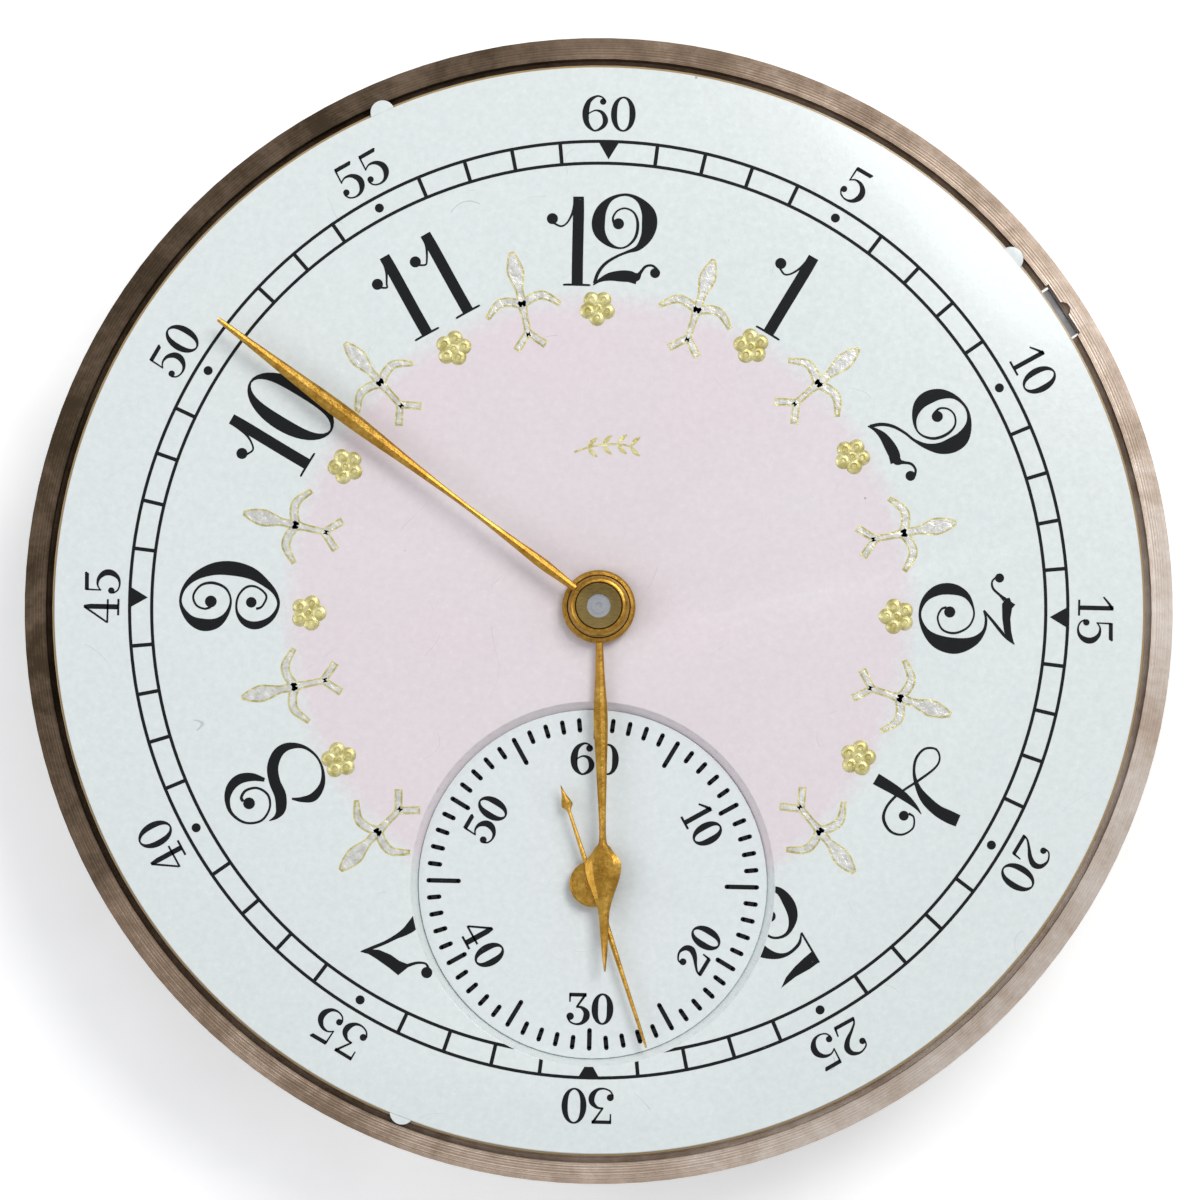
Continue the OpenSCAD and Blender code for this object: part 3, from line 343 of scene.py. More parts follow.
def mix(tree, factor, a, b):
    """From a to b as the factor goes from 0 to 1; each is a colour or a socket."""
    made = node(tree, "ShaderNodeMix", data_type="RGBA")
    for socket, value in ((made.inputs[0], factor), (made.inputs[6], a), (made.inputs[7], b)):
        if isinstance(value, bpy.types.NodeSocket):
            tree.links.new(value, socket)
        else:
            socket.default_value = (*value, 1) if hasattr(value, "__len__") else value
    return made.outputs[2]


def toned(tree, factor, colour, darker, lighter):
    """The colour, a little darker where the factor is low and lighter where it is high."""
    return mix(tree, factor, tuple(c * darker for c in colour), tuple(c * lighter for c in colour))


def enamel(name, white, pink=None):
    """Fired enamel, pink in the middle where a pink is given, with specks and hairline scratches."""
    material, tree, shader = new_material(name)
    place = object_place(tree)
    grain = noise(tree, place, 0.22 * MM, 3, 0.6)
    cloud = noise(tree, place, 6 * MM, 3, 0.5)
    colour = toned(tree, spread(tree, grain, 0.3, 0.7), white, 0.955, 1.03)
    radius = distance_from(tree, place)
    if pink:
        ragged = calculate(tree, "ADD", radius, spread(tree, grain, 0.2, 0.8, -0.25 * MM, 0.25 * MM))
        inside = spread(tree, ragged, PINK_EDGE - 0.5 * MM, PINK_EDGE + 0.35 * MM, 1.0, 0.0)
        inside = calculate(tree, "MULTIPLY", inside, spread(tree, cloud, 0.3, 0.7, 0.82, 1.0))
        pale = toned(tree, spread(tree, grain, 0.3, 0.7), pink, 0.965, 1.025)
        colour = mix(tree, inside, colour, pale)
    speck_cells = node(tree, "ShaderNodeTexVoronoi",
                       {"Vector": place, "Scale": 1 / SPECK_SPACING, "Randomness": 1.0})
    speck_size = spread(tree, noise(tree, place, 3.1 * MM, 1), 0.45, 0.75, 0.0, 0.055)
    speck = calculate(tree, "LESS_THAN", speck_cells.outputs["Distance"], speck_size)
    bent = noise(tree, object_place(tree, (0.013, 0.004, 0)), 4 * MM, 1, 0.4)
    off_line = calculate(tree, "ABSOLUTE", calculate(tree, "SUBTRACT", bent, 0.5))
    scratch = calculate(tree, "LESS_THAN", off_line, 0.0007)
    patches = noise(tree, object_place(tree, (0.03, 0.01, 0)), 2.2 * MM, 1)
    scratch = calculate(tree, "MULTIPLY", scratch, calculate(tree, "GREATER_THAN", patches, 0.63))
    dirt = calculate(tree, "MAXIMUM", calculate(tree, "MULTIPLY", speck, 0.55),
                     calculate(tree, "MULTIPLY", scratch, 0.3))
    colour = mix(tree, dirt, colour, DIRT)
    height = node(tree, "ShaderNodeSeparateXYZ", {0: place}).outputs["Z"]
    low = calculate(tree, "LESS_THAN", height, COPPER_BELOW)
    edge = calculate(tree, "MULTIPLY", low, calculate(tree, "GREATER_THAN", radius, COPPER_BEYOND))
    colour = mix(tree, edge, colour, EDGE_COPPER)
    tree.links.new(colour, shader.inputs["Base Color"])
    tree.links.new(spread(tree, grain, 0.2, 0.8, 0.16, 0.30), shader.inputs["Roughness"])
    shader.inputs["Coat Weight"].default_value = 0.35
    shader.inputs["Coat Roughness"].default_value = 0.08
    relief(tree, shader, calculate(tree, "ADD", grain, calculate(tree, "MULTIPLY", cloud, 2.0)), 0.004 * MM)
    return material


dial_enamel = enamel("white enamel, pink middle", DIAL_WHITE, DIAL_PINK)
seconds_enamel = enamel("white enamel of the seconds dial", SECONDS_WHITE)
fired("dial_plate", 0.05 * MM, 3, dial_enamel)
fired("seconds_dial", 0.03 * MM, 2, seconds_enamel)


# ---- Printing of the dial ----
# Black enamel paint, transferred from an engraved plate and fired: a ring of minutes with its numbers
# outside, fancy hour numbers with curled ends inside, and the seconds on the sunk dial.
PRINT_HEIGHT = 0.008 * MM
PRINT_DEPTH = 0.02 * MM
SPRIG_HEIGHT = 0.030 * MM
FINEST_STROKE = 0.03


def drawn_line(points, between=7):
    """Points between the given ones on a smooth line. A point is x, y and the width of the pen."""
    ends = [points[0], *points, points[-1]]
    line = []
    for a, b, c, d in zip(ends, ends[1:], ends[2:], ends[3:]):
        for step in range(between):
            t = step / between
            line.append([0.5 * (2 * q + (r - p) * t + (2 * p - 5 * q + 4 * r - s) * t * t
                                + (3 * q - p - 3 * r + s) * t ** 3) for p, q, r, s in zip(a, b, c, d)])
    line.append(list(points[-1]))
    return line


class Drawing:
    """Flat shapes in millimetres, laid on the dial one by one and then given the paint's thickness."""

    def __init__(self):
        self.corners = []
        self.faces = []
        self.place = Matrix.Identity(4)

    def at(self, x, y, clock=0.0, size=1.0):
        """The next shapes lie at x, y, turned clockwise."""
        self.place = Matrix.Translation((x, y, 0)) @ Matrix.Rotation(-math.radians(clock), 4, "Z")
        self.place = self.place @ Matrix.Scale(size, 4)
        return self

    def add(self, corners, faces):
        start = len(self.corners)
        self.corners += [self.place @ Vector((x, y, 0)) for x, y in corners]
        self.faces += [[start + i for i in face] for face in faces]

    def shape(self, corners):
        self.add(corners, [list(range(len(corners)))])

    def dot(self, x, y, radius, sides=24):
        turn = [2 * math.pi * i / sides for i in range(sides)]
        self.shape([(x + radius * math.cos(a), y + radius * math.sin(a)) for a in turn])

    def pen(self, points, smooth=True, closed=False, weight=1.0):
        line = drawn_line(points) if smooth else points
        sides = []
        for i, (x, y, w) in enumerate(line):
            before, after = line[max(i - 1, 0)], line[min(i + 1, len(line) - 1)]
            if closed and i in (0, len(line) - 1):
                before, after = line[-2], line[1]
            along = Vector((after[0] - before[0], after[1] - before[1])).normalized()
            half = max(w, FINEST_STROKE) * weight / 2
            sides.append(((x - along.y * half, y + along.x * half),
                          (x + along.y * half, y - along.x * half)))
        corners = [side[0] for side in sides] + [side[1] for side in sides]
        count = len(sides)
        self.add(corners, [[i, count + i, count + i + 1, i + 1] for i in range(count - 1)])

    def ring(self, radius, width, sides=240):
        turn = [2 * math.pi * i / sides for i in range(sides)]
        corners = [(r * math.cos(a), r * math.sin(a))
                   for r in (radius - width / 2, radius + width / 2) for a in turn]
        self.add(corners, [[i, sides + i, sides + (i + 1) % sides, (i + 1) % sides] for i in range(sides)])

    def painted(self, name, level, material, height=PRINT_HEIGHT):
        """The drawing as a thin solid whose top stands at this height over the level."""
        mesh = bpy.data.meshes.new(name)
        top = level + height
        mesh.from_pydata([(v.x * MM, v.y * MM, top) for v in self.corners], [], self.faces)
        piece = new_piece(name, mesh)
        edit_all()
        bpy.ops.mesh.extrude_region_move(TRANSFORM_OT_translate={"value": (0, 0, -PRINT_DEPTH)})
        bpy.ops.mesh.select_all(action="SELECT")
        close_outwards()
        give(piece, material)
        file_under(piece, "plate")
        return piece


def black_print(name):
    """Black fired paint with pinholes."""
    material, tree, shader = new_material(name)
    place = object_place(tree)
    grain = noise(tree, place, 0.12 * MM, 4, 0.7)
    pinholes = spread(tree, grain, 0.70, 0.76)
    colour = mix(tree, pinholes, (0.006, 0.007, 0.008), (0.20, 0.22, 0.22))
    tree.links.new(colour, shader.inputs["Base Color"])
    tree.links.new(spread(tree, grain, 0.2, 0.8, 0.28, 0.5), shader.inputs["Roughness"])
    shader.inputs["Specular IOR Level"].default_value = 0.2
    relief(tree, shader, grain, 0.003 * MM)
    return material


print_black = black_print("black fired print")


def on_clock(radius, clock):
    """The place at a radius and a clock angle, in millimetres."""
    return radius * math.sin(math.radians(clock)), radius * math.cos(math.radians(clock))


def aside(across, clock):
    """A step to the right of something that is turned to the clock angle."""
    step = Vector((across, 0, 0))
    step.rotate(Matrix.Rotation(-math.radians(clock), 4, "Z"))
    return step


def cut_window(piece):
    """Takes away what lies over the window for the seconds."""
    cutter = by_hand(bpy.ops.mesh.primitive_cylinder_add, vertices=180, radius=WINDOW, depth=2 * MM,
                     location=SECONDS_PLACE + Vector((0, 0, FACE)))
    cut = piece.modifiers.new("window", "BOOLEAN")
    cut.operation = "DIFFERENCE"
    cut.solver = "EXACT"
    cut.use_self = True
    cut.object = cutter
    pick(piece)
    bpy.ops.object.modifier_apply(modifier=cut.name)
    bpy.data.objects.remove(cutter)


TRACK_OUTER = 17.63
TRACK_INNER = 16.80
TRACK_LINE = 0.12
track = Drawing()
track.ring(TRACK_OUTER, TRACK_LINE)
track.ring(TRACK_INNER, TRACK_LINE)
for minute in range(60):
    x, y = on_clock((TRACK_OUTER + TRACK_INNER) / 2, minute * 6)
    track.at(x, y, minute * 6)
    half = (TRACK_OUTER - TRACK_INNER) / 2
    if minute % 15 == 0:
        track.shape([(-0.40, half), (0, half - 0.68), (0.40, half)])
    elif minute % 5 == 0:
        track.dot(0, 0, 0.17)
    else:
        track.pen([(0, -half, 0.14), (0, half, 0.14)], smooth=False)
cut_window(track.painted("minute_track", FACE, print_black))


def oval(width, height, thick, thin, centre=(0, 0), sides=40):
    """A ring as a pen draws a nought: thick at its sides, thin at its top and foot."""
    points = []
    for i in range(sides + 1):
        a = 2 * math.pi * i / sides + math.pi / 2
        pen = thin + (thick - thin) * abs(math.cos(a)) ** 1.5
        points.append((centre[0] + (width - pen) / 2 * math.cos(a),
                       centre[1] + (height - pen) / 2 * math.sin(a), pen))
    return points


def book_number(drawing, text, x, y, clock, size, weight=1.0, pitch=1.04):
    """A number in the book face of the minutes and seconds, upright at the clock angle."""
    places = {1: [0.0], 2: [-pitch / 2, pitch / 2]}[len(text)]
    if text[0] == "1":
        places = [-pitch / 2 + 0.08, pitch / 2 - 0.06]
    for figure, across in zip(text, places):
        step = aside(across * size, clock)
        drawing.at(x + step.x, y + step.y, clock, size)
        if figure == "0":
            drawing.pen(oval(0.93, 1.34, 0.23 * weight, 0.065 * weight), smooth=False, closed=True)
        if figure == "1":
            drawing.pen([(0.06, -0.60, 0.17), (0.06, 0.66, 0.17)], smooth=False, weight=weight)
            drawing.pen([(-0.24, -0.63, 0.08), (0.36, -0.63, 0.08)], smooth=False, weight=weight)
            drawing.pen([(0.10, 0.63, 0.12), (-0.10, 0.50, 0.09), (-0.36, 0.28, 0.06)], weight=weight)
        if figure == "2":
            drawing.dot(-0.31, 0.31, 0.12 * weight)
            drawing.pen([(-0.40, 0.34, 0.06), (-0.34, 0.53, 0.06), (-0.05, 0.65, 0.08), (0.24, 0.53, 0.17),
                         (0.32, 0.28, 0.22), (0.16, 0.02, 0.17), (-0.14, -0.22, 0.10),
                         (-0.36, -0.43, 0.07),
                         (-0.43, -0.63, 0.06)], weight=weight)
            drawing.pen([(-0.44, -0.58, 0.14), (0.38, -0.58, 0.14)], smooth=False, weight=weight)
            drawing.pen([(0.36, -0.60, 0.09), (0.41, -0.26, 0.05)], smooth=False, weight=weight)
        if figure == "3":
            drawing.pen([(-0.36, 0.59, 0.13), (0.37, 0.59, 0.13)], smooth=False, weight=weight)
            drawing.pen([(-0.33, 0.62, 0.07), (-0.33, 0.28, 0.05)], smooth=False, weight=weight)
            drawing.pen([(0.34, 0.62, 0.09), (-0.03, 0.08, 0.07)], smooth=False, weight=weight)
            drawing.pen([(-0.06, 0.07, 0.06), (0.17, 0.05, 0.10), (0.37, -0.14, 0.20), (0.37, -0.38, 0.22),
                         (0.20, -0.60, 0.12), (-0.05, -0.66, 0.07), (-0.30, -0.57, 0.06),
                         (-0.42, -0.38, 0.06)],
                        weight=weight)
            drawing.dot(-0.31, -0.33, 0.13 * weight)
        if figure == "4":
            drawing.pen([(0.14, -0.62, 0.19), (0.14, 0.40, 0.19), (0.14, 0.67, 0.10)], smooth=False,
                        weight=weight)
            drawing.pen([(0.12, 0.64, 0.08), (-0.45, -0.22, 0.07)], smooth=False, weight=weight)
            drawing.pen([(-0.47, -0.23, 0.07), (0.42, -0.23, 0.07)], smooth=False, weight=weight)
            drawing.pen([(-0.18, -0.63, 0.08), (0.44, -0.63, 0.08)], smooth=False, weight=weight)
        if figure == "5":
            drawing.pen([(-0.28, 0.57, 0.15), (0.33, 0.58, 0.15), (0.39, 0.64, 0.06)], smooth=False,
                        weight=weight)
            drawing.pen([(-0.26, 0.60, 0.07), (-0.28, 0.03, 0.05)], smooth=False, weight=weight)
            drawing.pen([(-0.28, 0.06, 0.05), (-0.08, 0.17, 0.07), (0.18, 0.12, 0.14), (0.37, -0.10, 0.22),
                         (0.37, -0.36, 0.22), (0.20, -0.59, 0.13), (-0.05, -0.66, 0.07),
                         (-0.28, -0.58, 0.06),
                         (-0.39, -0.40, 0.06)], weight=weight)
            drawing.dot(-0.29, -0.35, 0.12 * weight)
        if figure == "6":
            drawing.dot(0.27, 0.46, 0.12 * weight)
            drawing.pen([(0.36, 0.48, 0.06), (0.24, 0.62, 0.06), (0.02, 0.66, 0.08), (-0.26, 0.46, 0.17),
                         (-0.38, 0.05, 0.25), (-0.32, -0.38, 0.19), (-0.04, -0.65, 0.07),
                         (0.27, -0.50, 0.14),
                         (0.37, -0.24, 0.20), (0.24, 0.04, 0.13), (-0.02, 0.12, 0.06),
                         (-0.30, -0.02, 0.05)],
                        weight=weight)


MINUTE_NUMBER_RADIUS = 18.68
SECONDS_TRACK_RADIUS = 6.22
SECONDS_NUMBER_RADIUS = 4.68
SECONDS_LINE = 0.17

minute_numbers = Drawing()
for minute in range(5, 65, 5):
    x, y = on_clock(MINUTE_NUMBER_RADIUS, minute * 6)
    book_number(minute_numbers, str(minute), x, y, minute * 6, 1.0)
minute_numbers.painted("minute_numbers", FACE, print_black)



def seconds_stroke(second):
    """The length of a stroke of the seconds track: longest at 15 and 45, shortest between the fives."""
    if second in (15, 45):
        return 1.25
    if second % 10 == 5:
        return 1.1
    return 0.8 if second % 10 == 0 else 0.5


seconds_print = Drawing()
for second in range(60):
    clock = second * 6
    length = seconds_stroke(second)
    x, y = on_clock(SECONDS_TRACK_RADIUS - length / 2, clock)
    seconds_print.at(x, y + SECONDS_PLACE.y / MM, clock)
    end = length / 2 - 0.06
    seconds_print.pen([(0, -end, SECONDS_LINE), (0, end, SECONDS_LINE)], smooth=False)
    seconds_print.dot(0, -end, SECONDS_LINE / 2, 10)
    seconds_print.dot(0, end, SECONDS_LINE / 2, 10)
for second in range(10, 70, 10):
    clock = second * 6 % 360
    x, y = on_clock(SECONDS_NUMBER_RADIUS, clock)
    facing = clock if second in (10, 50, 60) else clock + 180
    book_number(seconds_print, str(second), x, y + SECONDS_PLACE.y / MM, facing, 0.88, 1.22, 1.06)
seconds_print.painted("seconds_print", SECONDS_FACE, print_black)


# ---- Hour numbers ----
# The same black print, drawn as a lettering artist would: thick and thin, with balls and curled ends.
# Each is drawn upright round the middle of its place, and the window cuts into the 5 and the 7.
HOUR_RADIUS = 13.85
BALL = 0.21


def draw_one(drawing, across=0.08, reach=0.95, drop=0.80):
    drawing.pen([(across - 0.01, 1.66, 0.40), (across, 1.0, 0.42), (across, -0.6, 0.42),
                 (across + 0.01, -1.66, 0.42)])
    drawing.pen([(across - 0.50, -1.72, 0.06), (across - 0.40, -1.69, 0.08), (across + 0.40, -1.69, 0.08),
                 (across + 0.48, -1.71, 0.06)])
    drawing.pen([(across - 0.14, 1.36, 0.14), (across - 0.24, drop + 0.22, 0.09),
                 (across - 0.42, drop - 0.12, 0.07), (across - reach * 0.66, drop - 0.26, 0.07),
                 (across - reach * 0.95, drop - 0.14, 0.08)])
    drawing.dot(across - reach, drop + 0.02, BALL)


def draw_two(drawing, across=0.0, up=0.0, squeeze=1.0):
    def put(points):
        return [(across + x * squeeze, y + up * (y > -0.4), w) for x, y, w in points]
    drawing.dot(across - 0.18 * squeeze, 0.79 + up, BALL)
    drawing.pen(put([(-0.34, 0.76, 0.10), (-0.40, 1.02, 0.08), (-0.22, 1.29, 0.07), (0.10, 1.38, 0.07),
                     (0.44, 1.20, 0.08), (0.58, 0.79, 0.11), (0.50, 0.30, 0.11), (0.20, -0.04, 0.08),
                     (-0.16, -0.13, 0.08), (-0.58, 0.04, 0.20), (-0.90, 0.42, 0.42), (-0.97, 0.86, 0.50),
                     (-0.84, 1.34, 0.38), (-0.48, 1.74, 0.16), (0.08, 1.90, 0.10), (0.60, 1.72, 0.20),
                     (0.97, 1.26, 0.50), (1.04, 0.80, 0.58), (0.93, 0.32, 0.44), (0.62, -0.10, 0.22),
                     (0.20, -0.40, 0.11), (-0.22, -0.58, 0.10), (-0.66, -0.86, 0.12), (-0.94, -1.22, 0.13),
                     (-1.07, -1.62, 0.13)]))
    drawing.pen(put([(-1.12, -1.68, 0.05), (-0.86, -1.50, 0.14), (-0.50, -1.36, 0.30), (-0.05, -1.32, 0.42),
                     (0.32, -1.33, 0.42), (0.58, -1.36, 0.28), (0.72, -1.18, 0.13), (0.92, -0.94, 0.10),
                     (1.18, -0.90, 0.09), (1.38, -1.04, 0.09)]))
    foot = [(0.10, -1.50), (0.55, -1.62), (0.64, -1.20), (0.10, -1.15)]
    drawing.shape([(across + x * squeeze, y) for x, y in foot])
    drawing.dot(across + 1.30 * squeeze, -1.18, BALL * 0.9)


def draw_three(drawing):
    drawing.dot(-1.43, 1.19, BALL * 0.82)
    drawing.pen([(-1.45, 1.05, 0.07), (-1.28, 0.91, 0.07), (-1.02, 0.96, 0.09), (-0.78, 1.22, 0.10),
                 (-0.62, 1.40, 0.18)])
    drawing.shape([(-0.70, 1.58), (-0.55, 1.64), (-0.44, 1.80), (-0.30, 1.68), (0.10, 1.62), (0.55, 1.66),
                   (0.82, 1.72), (1.08, 1.80), (0.92, 1.60), (0.60, 1.40), (0.10, 1.32), (-0.45, 1.30),
                   (-0.66, 1.42)])
    drawing.pen([(1.04, 1.78, 0.06), (0.74, 1.42, 0.12), (0.20, 0.96, 0.11), (-0.20, 0.62, 0.07)])
    drawing.pen([(-0.18, 0.62, 0.06), (0.16, 0.71, 0.10), (0.60, 0.62, 0.14), (0.98, 0.24, 0.36),
                 (1.16, -0.42, 0.60), (1.02, -1.08, 0.52), (0.62, -1.56, 0.24), (0.02, -1.78, 0.10),
                 (-0.56, -1.60, 0.22),
                 (-0.92, -1.12, 0.40), (-0.97, -0.56, 0.42), (-0.76, -0.06, 0.24), (-0.34, 0.20, 0.09),
                 (0.06, 0.24, 0.07), (0.46, 0.02, 0.08), (0.68, -0.46, 0.09), (0.56, -0.92, 0.08),
                 (0.14, -1.11, 0.07), (-0.20, -0.98, 0.08), (-0.28, -0.78, 0.10)])
    drawing.dot(-0.11, -0.66, BALL)


def draw_four(drawing):
    drawing.pen([(-0.13, 1.83, 0.46), (-0.08, 1.44, 0.48), (-0.06, 0.95, 0.42), (-0.18, 0.38, 0.36),
                 (-0.42, -0.10, 0.20), (-0.80, -0.50, 0.11), (-1.30, -0.72, 0.10), (-1.78, -0.64, 0.09),
                 (-2.00, -0.28, 0.08), (-1.80, 0.02, 0.07), (-1.40, 0.07, 0.08), (-0.70, -0.20, 0.10),
                 (-0.16, -0.46, 0.09), (0.34, -0.66, 0.10), (0.86, -0.73, 0.10), (1.28, -0.58, 0.12),
                 (1.52, -0.14, 0.10), (1.40, 0.30, 0.08), (0.98, 0.52, 0.07), (0.62, 0.34, 0.07),
                 (0.60, 0.10, 0.10)])
    drawing.dot(0.76, -0.01, BALL * 0.88)
    drawing.pen([(0.37, 0.52, 0.03), (0.24, 0.20, 0.14), (0.15, -0.25, 0.28), (0.11, -0.80, 0.38),
                 (0.12, -1.62, 0.45)])


def draw_five(drawing):
    drawing.shape([(-0.86, 1.78), (-0.40, 1.84), (0.20, 1.84), (0.88, 1.95), (0.52, 1.68), (0.06, 1.50),
                   (-0.40, 1.38), (-0.80, 1.30)])
    drawing.pen([(-0.82, 1.80, 0.08), (-0.78, 0.50, 0.08)], smooth=False)
    drawing.pen([(-0.77, 0.50, 0.04), (-0.50, 0.82, 0.12), (0.04, 0.95, 0.13), (0.50, 0.78, 0.26),
                 (0.90, 0.30, 0.50), (0.98, -0.30, 0.56), (0.80, -0.90, 0.42), (0.30, -1.50, 0.16),
                 (-0.30, -1.60, 0.12), (-0.78, -1.30, 0.26), (-0.90, -0.72, 0.42), (-0.80, -0.20, 0.36),
                 (-0.48, 0.18, 0.18), (-0.10, 0.29, 0.11), (0.30, 0.10, 0.09), (0.45, -0.40, 0.09),
                 (0.20, -0.85, 0.08), (-0.15, -0.80, 0.09)])
    drawing.dot(-0.05, -0.60, BALL)


def draw_seven(drawing):
    drawing.dot(-1.60, 1.20, BALL)
    drawing.pen([(-1.56, 1.02, 0.10), (-1.38, 0.94, 0.08), (-1.10, 1.08, 0.10), (-0.86, 1.34, 0.13)])
    drawing.shape([(-0.94, 1.28), (-0.74, 1.84), (-0.30, 1.78), (0.30, 1.74), (0.62, 1.74), (0.94, 1.83),
                   (0.76, 1.60), (0.36, 1.40), (-0.10, 1.33), (-0.50, 1.36)])
    drawing.pen([(0.90, 1.80, 0.06), (0.62, 1.46, 0.12), (0.32, 1.06, 0.13), (0.08, 0.66, 0.17),
                 (-0.10, 0.34, 0.28), (-0.22, 0.00, 0.40), (-0.30, -0.60, 0.46), (-0.30, -1.64, 0.46)])


def draw_eight(drawing):
    drawing.dot(-0.15, 1.19, BALL * 1.05)
    drawing.pen([(0.02, 1.34, 0.12), (0.18, 1.34, 0.11), (0.33, 1.06, 0.10), (0.20, 0.64, 0.09),
                 (-0.22, 0.42, 0.09), (-0.68, 0.60, 0.08), (-0.94, 1.10, 0.09), (-0.72, 1.66, 0.09),
                 (-0.18, 1.94, 0.12), (0.34, 1.85, 0.20), (0.70, 1.52, 0.32), (0.82, 1.08, 0.37),
                 (0.66, 0.62, 0.30), (0.34, 0.26, 0.14)])
    drawing.pen([(-1.09, 0.84, 0.03), (-1.08, 0.52, 0.18), (-0.90, 0.24, 0.38), (-0.45, 0.02, 0.44),
                 (0.10, -0.04, 0.42), (0.62, -0.24, 0.42), (0.98, -0.66, 0.38), (1.02, -1.12, 0.28),
                 (0.74, -1.60, 0.14), (0.22, -1.86, 0.09), (-0.34, -1.84, 0.10), (-0.84, -1.56, 0.20),
                 (-1.10, -1.06, 0.32), (-0.98, -0.62, 0.20), (-0.77, -0.30, 0.07)])


def draw_nine(drawing):
    drawing.dot(-0.10, 0.73, BALL * 1.05)
    drawing.pen([(-0.30, 0.72, 0.10), (-0.38, 0.96, 0.08), (-0.24, 1.28, 0.08), (0.12, 1.39, 0.08),
                 (0.50, 1.12, 0.09), (0.60, 0.66, 0.11), (0.40, 0.18, 0.09), (-0.06, -0.02, 0.08),
                 (-0.58, 0.14, 0.18), (-0.92, 0.52, 0.38), (-0.98, 1.04, 0.46), (-0.74, 1.54, 0.28),
                 (-0.20, 1.86, 0.11), (0.36, 1.76, 0.14), (0.82, 1.34, 0.28), (1.12, 0.66, 0.46),
                 (1.16, -0.04, 0.54), (1.00, -0.74, 0.46), (0.66, -1.28, 0.30), (0.26, -1.68, 0.16),
                 (-0.20, -1.81, 0.11), (-0.70, -1.54, 0.20), (-0.96, -1.02, 0.30), (-0.86, -0.56, 0.24),
                 (-0.46, -0.26, 0.10), (0.08, -0.28, 0.08), (0.46, -0.58, 0.09), (0.48, -0.98, 0.08),
                 (0.16, -1.35, 0.08), (-0.24, -1.20, 0.08), (-0.34, -0.98, 0.10)])
    drawing.dot(-0.10, -0.79, BALL * 0.95)


def draw_ten(drawing):
    draw_one(drawing, -1.09, 0.92, 0.62)
    drawing.pen(oval(2.02, 3.62, 0.52, 0.08, (0.46, 0.0)), smooth=False, closed=True)


def draw_eleven(drawing):
    draw_one(drawing, -0.71, 0.74, 0.84)
    draw_one(drawing, 1.05, 0.84, 0.90)


def draw_twelve(drawing):
    draw_one(drawing, -1.09, 0.98, 0.78)
    draw_two(drawing, 0.60, -0.13, 0.96)


hours = Drawing()
hour_drawings = {12: draw_twelve, 1: draw_one, 2: draw_two, 3: draw_three, 4: draw_four, 5: draw_five,
                 7: draw_seven, 8: draw_eight, 9: draw_nine, 10: draw_ten, 11: draw_eleven}
for hour, draw in hour_drawings.items():
    x, y = on_clock(HOUR_RADIUS, hour * 30)
    draw(hours.at(x, y, hour * 30))
cut_window(hours.painted("hour_numbers", FACE, print_black))


# ---- Gold and silver ornaments ----
# Leaf laid on the enamel and fired: a gold flower under each hour, a silver sprig with a gold outline
# between the hours, and a small gold twig under the bare place above the middle.
SPRIG_RADIUS = 11.35
FLOWER_RADIUS = 11.2


def leaf_metal(name, dark, bright, roughness):
    """Crumpled metal leaf."""
    material, tree, shader = new_material(name)
    place = object_place(tree)
    crumple = noise(tree, place, 0.28 * MM, 4, 0.6, 0.4)
    tree.links.new(mix(tree, spread(tree, crumple, 0.35, 0.65), dark, bright), shader.inputs["Base Color"])
    shader.inputs["Metallic"].default_value = 0.55
    tree.links.new(spread(tree, crumple, 0.2, 0.8, roughness + 0.14, roughness), shader.inputs["Roughness"])
    relief(tree, shader, crumple, 0.035 * MM)
    return material


def draw_sprig(drawing, extra):
    """A leaf on a cross of two curled arms, with a forked foot; extra widens every stroke."""
    def stroke(*points):
        drawing.pen([(x, y, width + extra) for x, y, width in points])

    stroke((0, 2.42 + extra / 2, 0.04), (0, 2.15, 0.34), (0, 1.70, 0.52), (0, 1.30, 0.34), (0, 0.95, 0.18),
           (0, 0.50, 0.26))
    for side in (-1, 1):
        stroke((0, 0.42, 0.20), (side * 0.42, 0.62, 0.22), (side * 0.88, 0.62, 0.20),
               (side * (1.34 + extra / 2), 0.22 - extra / 3, 0.07))
        stroke((side * 0.02, -0.66, 0.15), (side * (0.52 + extra / 3), -1.18 - extra / 3, 0.17))
    stroke((0, 0.55, 0.34), (0, 0.15, 0.16), (0, -0.40, 0.13), (0, -0.80, 0.16))


def turned(name, profile, level, centre=(0, 0), turns=96):
    """A piece turned on the lathe: its profile is a closed line of radii and heights over the level."""
    mesh = bpy.data.meshes.new(name)
    points = [(centre[0] * MM + r * MM, centre[1] * MM, (level + z) * MM) for r, z in profile]
    edges = [(i, (i + 1) % len(points)) for i in range(len(points))]
    if profile[0][0] == 0 and profile[-1][0] == 0:
        edges = edges[:-1]
    mesh.from_pydata(points, edges, [])
    piece = new_piece(name, mesh)
    edit_all()
    bpy.ops.mesh.spin(steps=turns, angle=2 * math.pi, center=(centre[0] * MM, centre[1] * MM, 0),
                      axis=(0, 0, 1))
    bpy.ops.mesh.select_all(action="SELECT")
    bpy.ops.mesh.remove_doubles(threshold=SAME_POINT)
    close_outwards()
    bpy.ops.object.shade_smooth_by_angle(angle=math.radians(35))
    return piece


def joined(name, *pieces):
    """The pieces as one, under this name."""
    bpy.ops.object.select_all(action="DESELECT")
    for piece in pieces:
        piece.select_set(True)
    bpy.context.view_layer.objects.active = pieces[0]
    bpy.ops.object.join()
    pieces[0].name = name
    pieces[0].data.name = name
    return pieces[0]


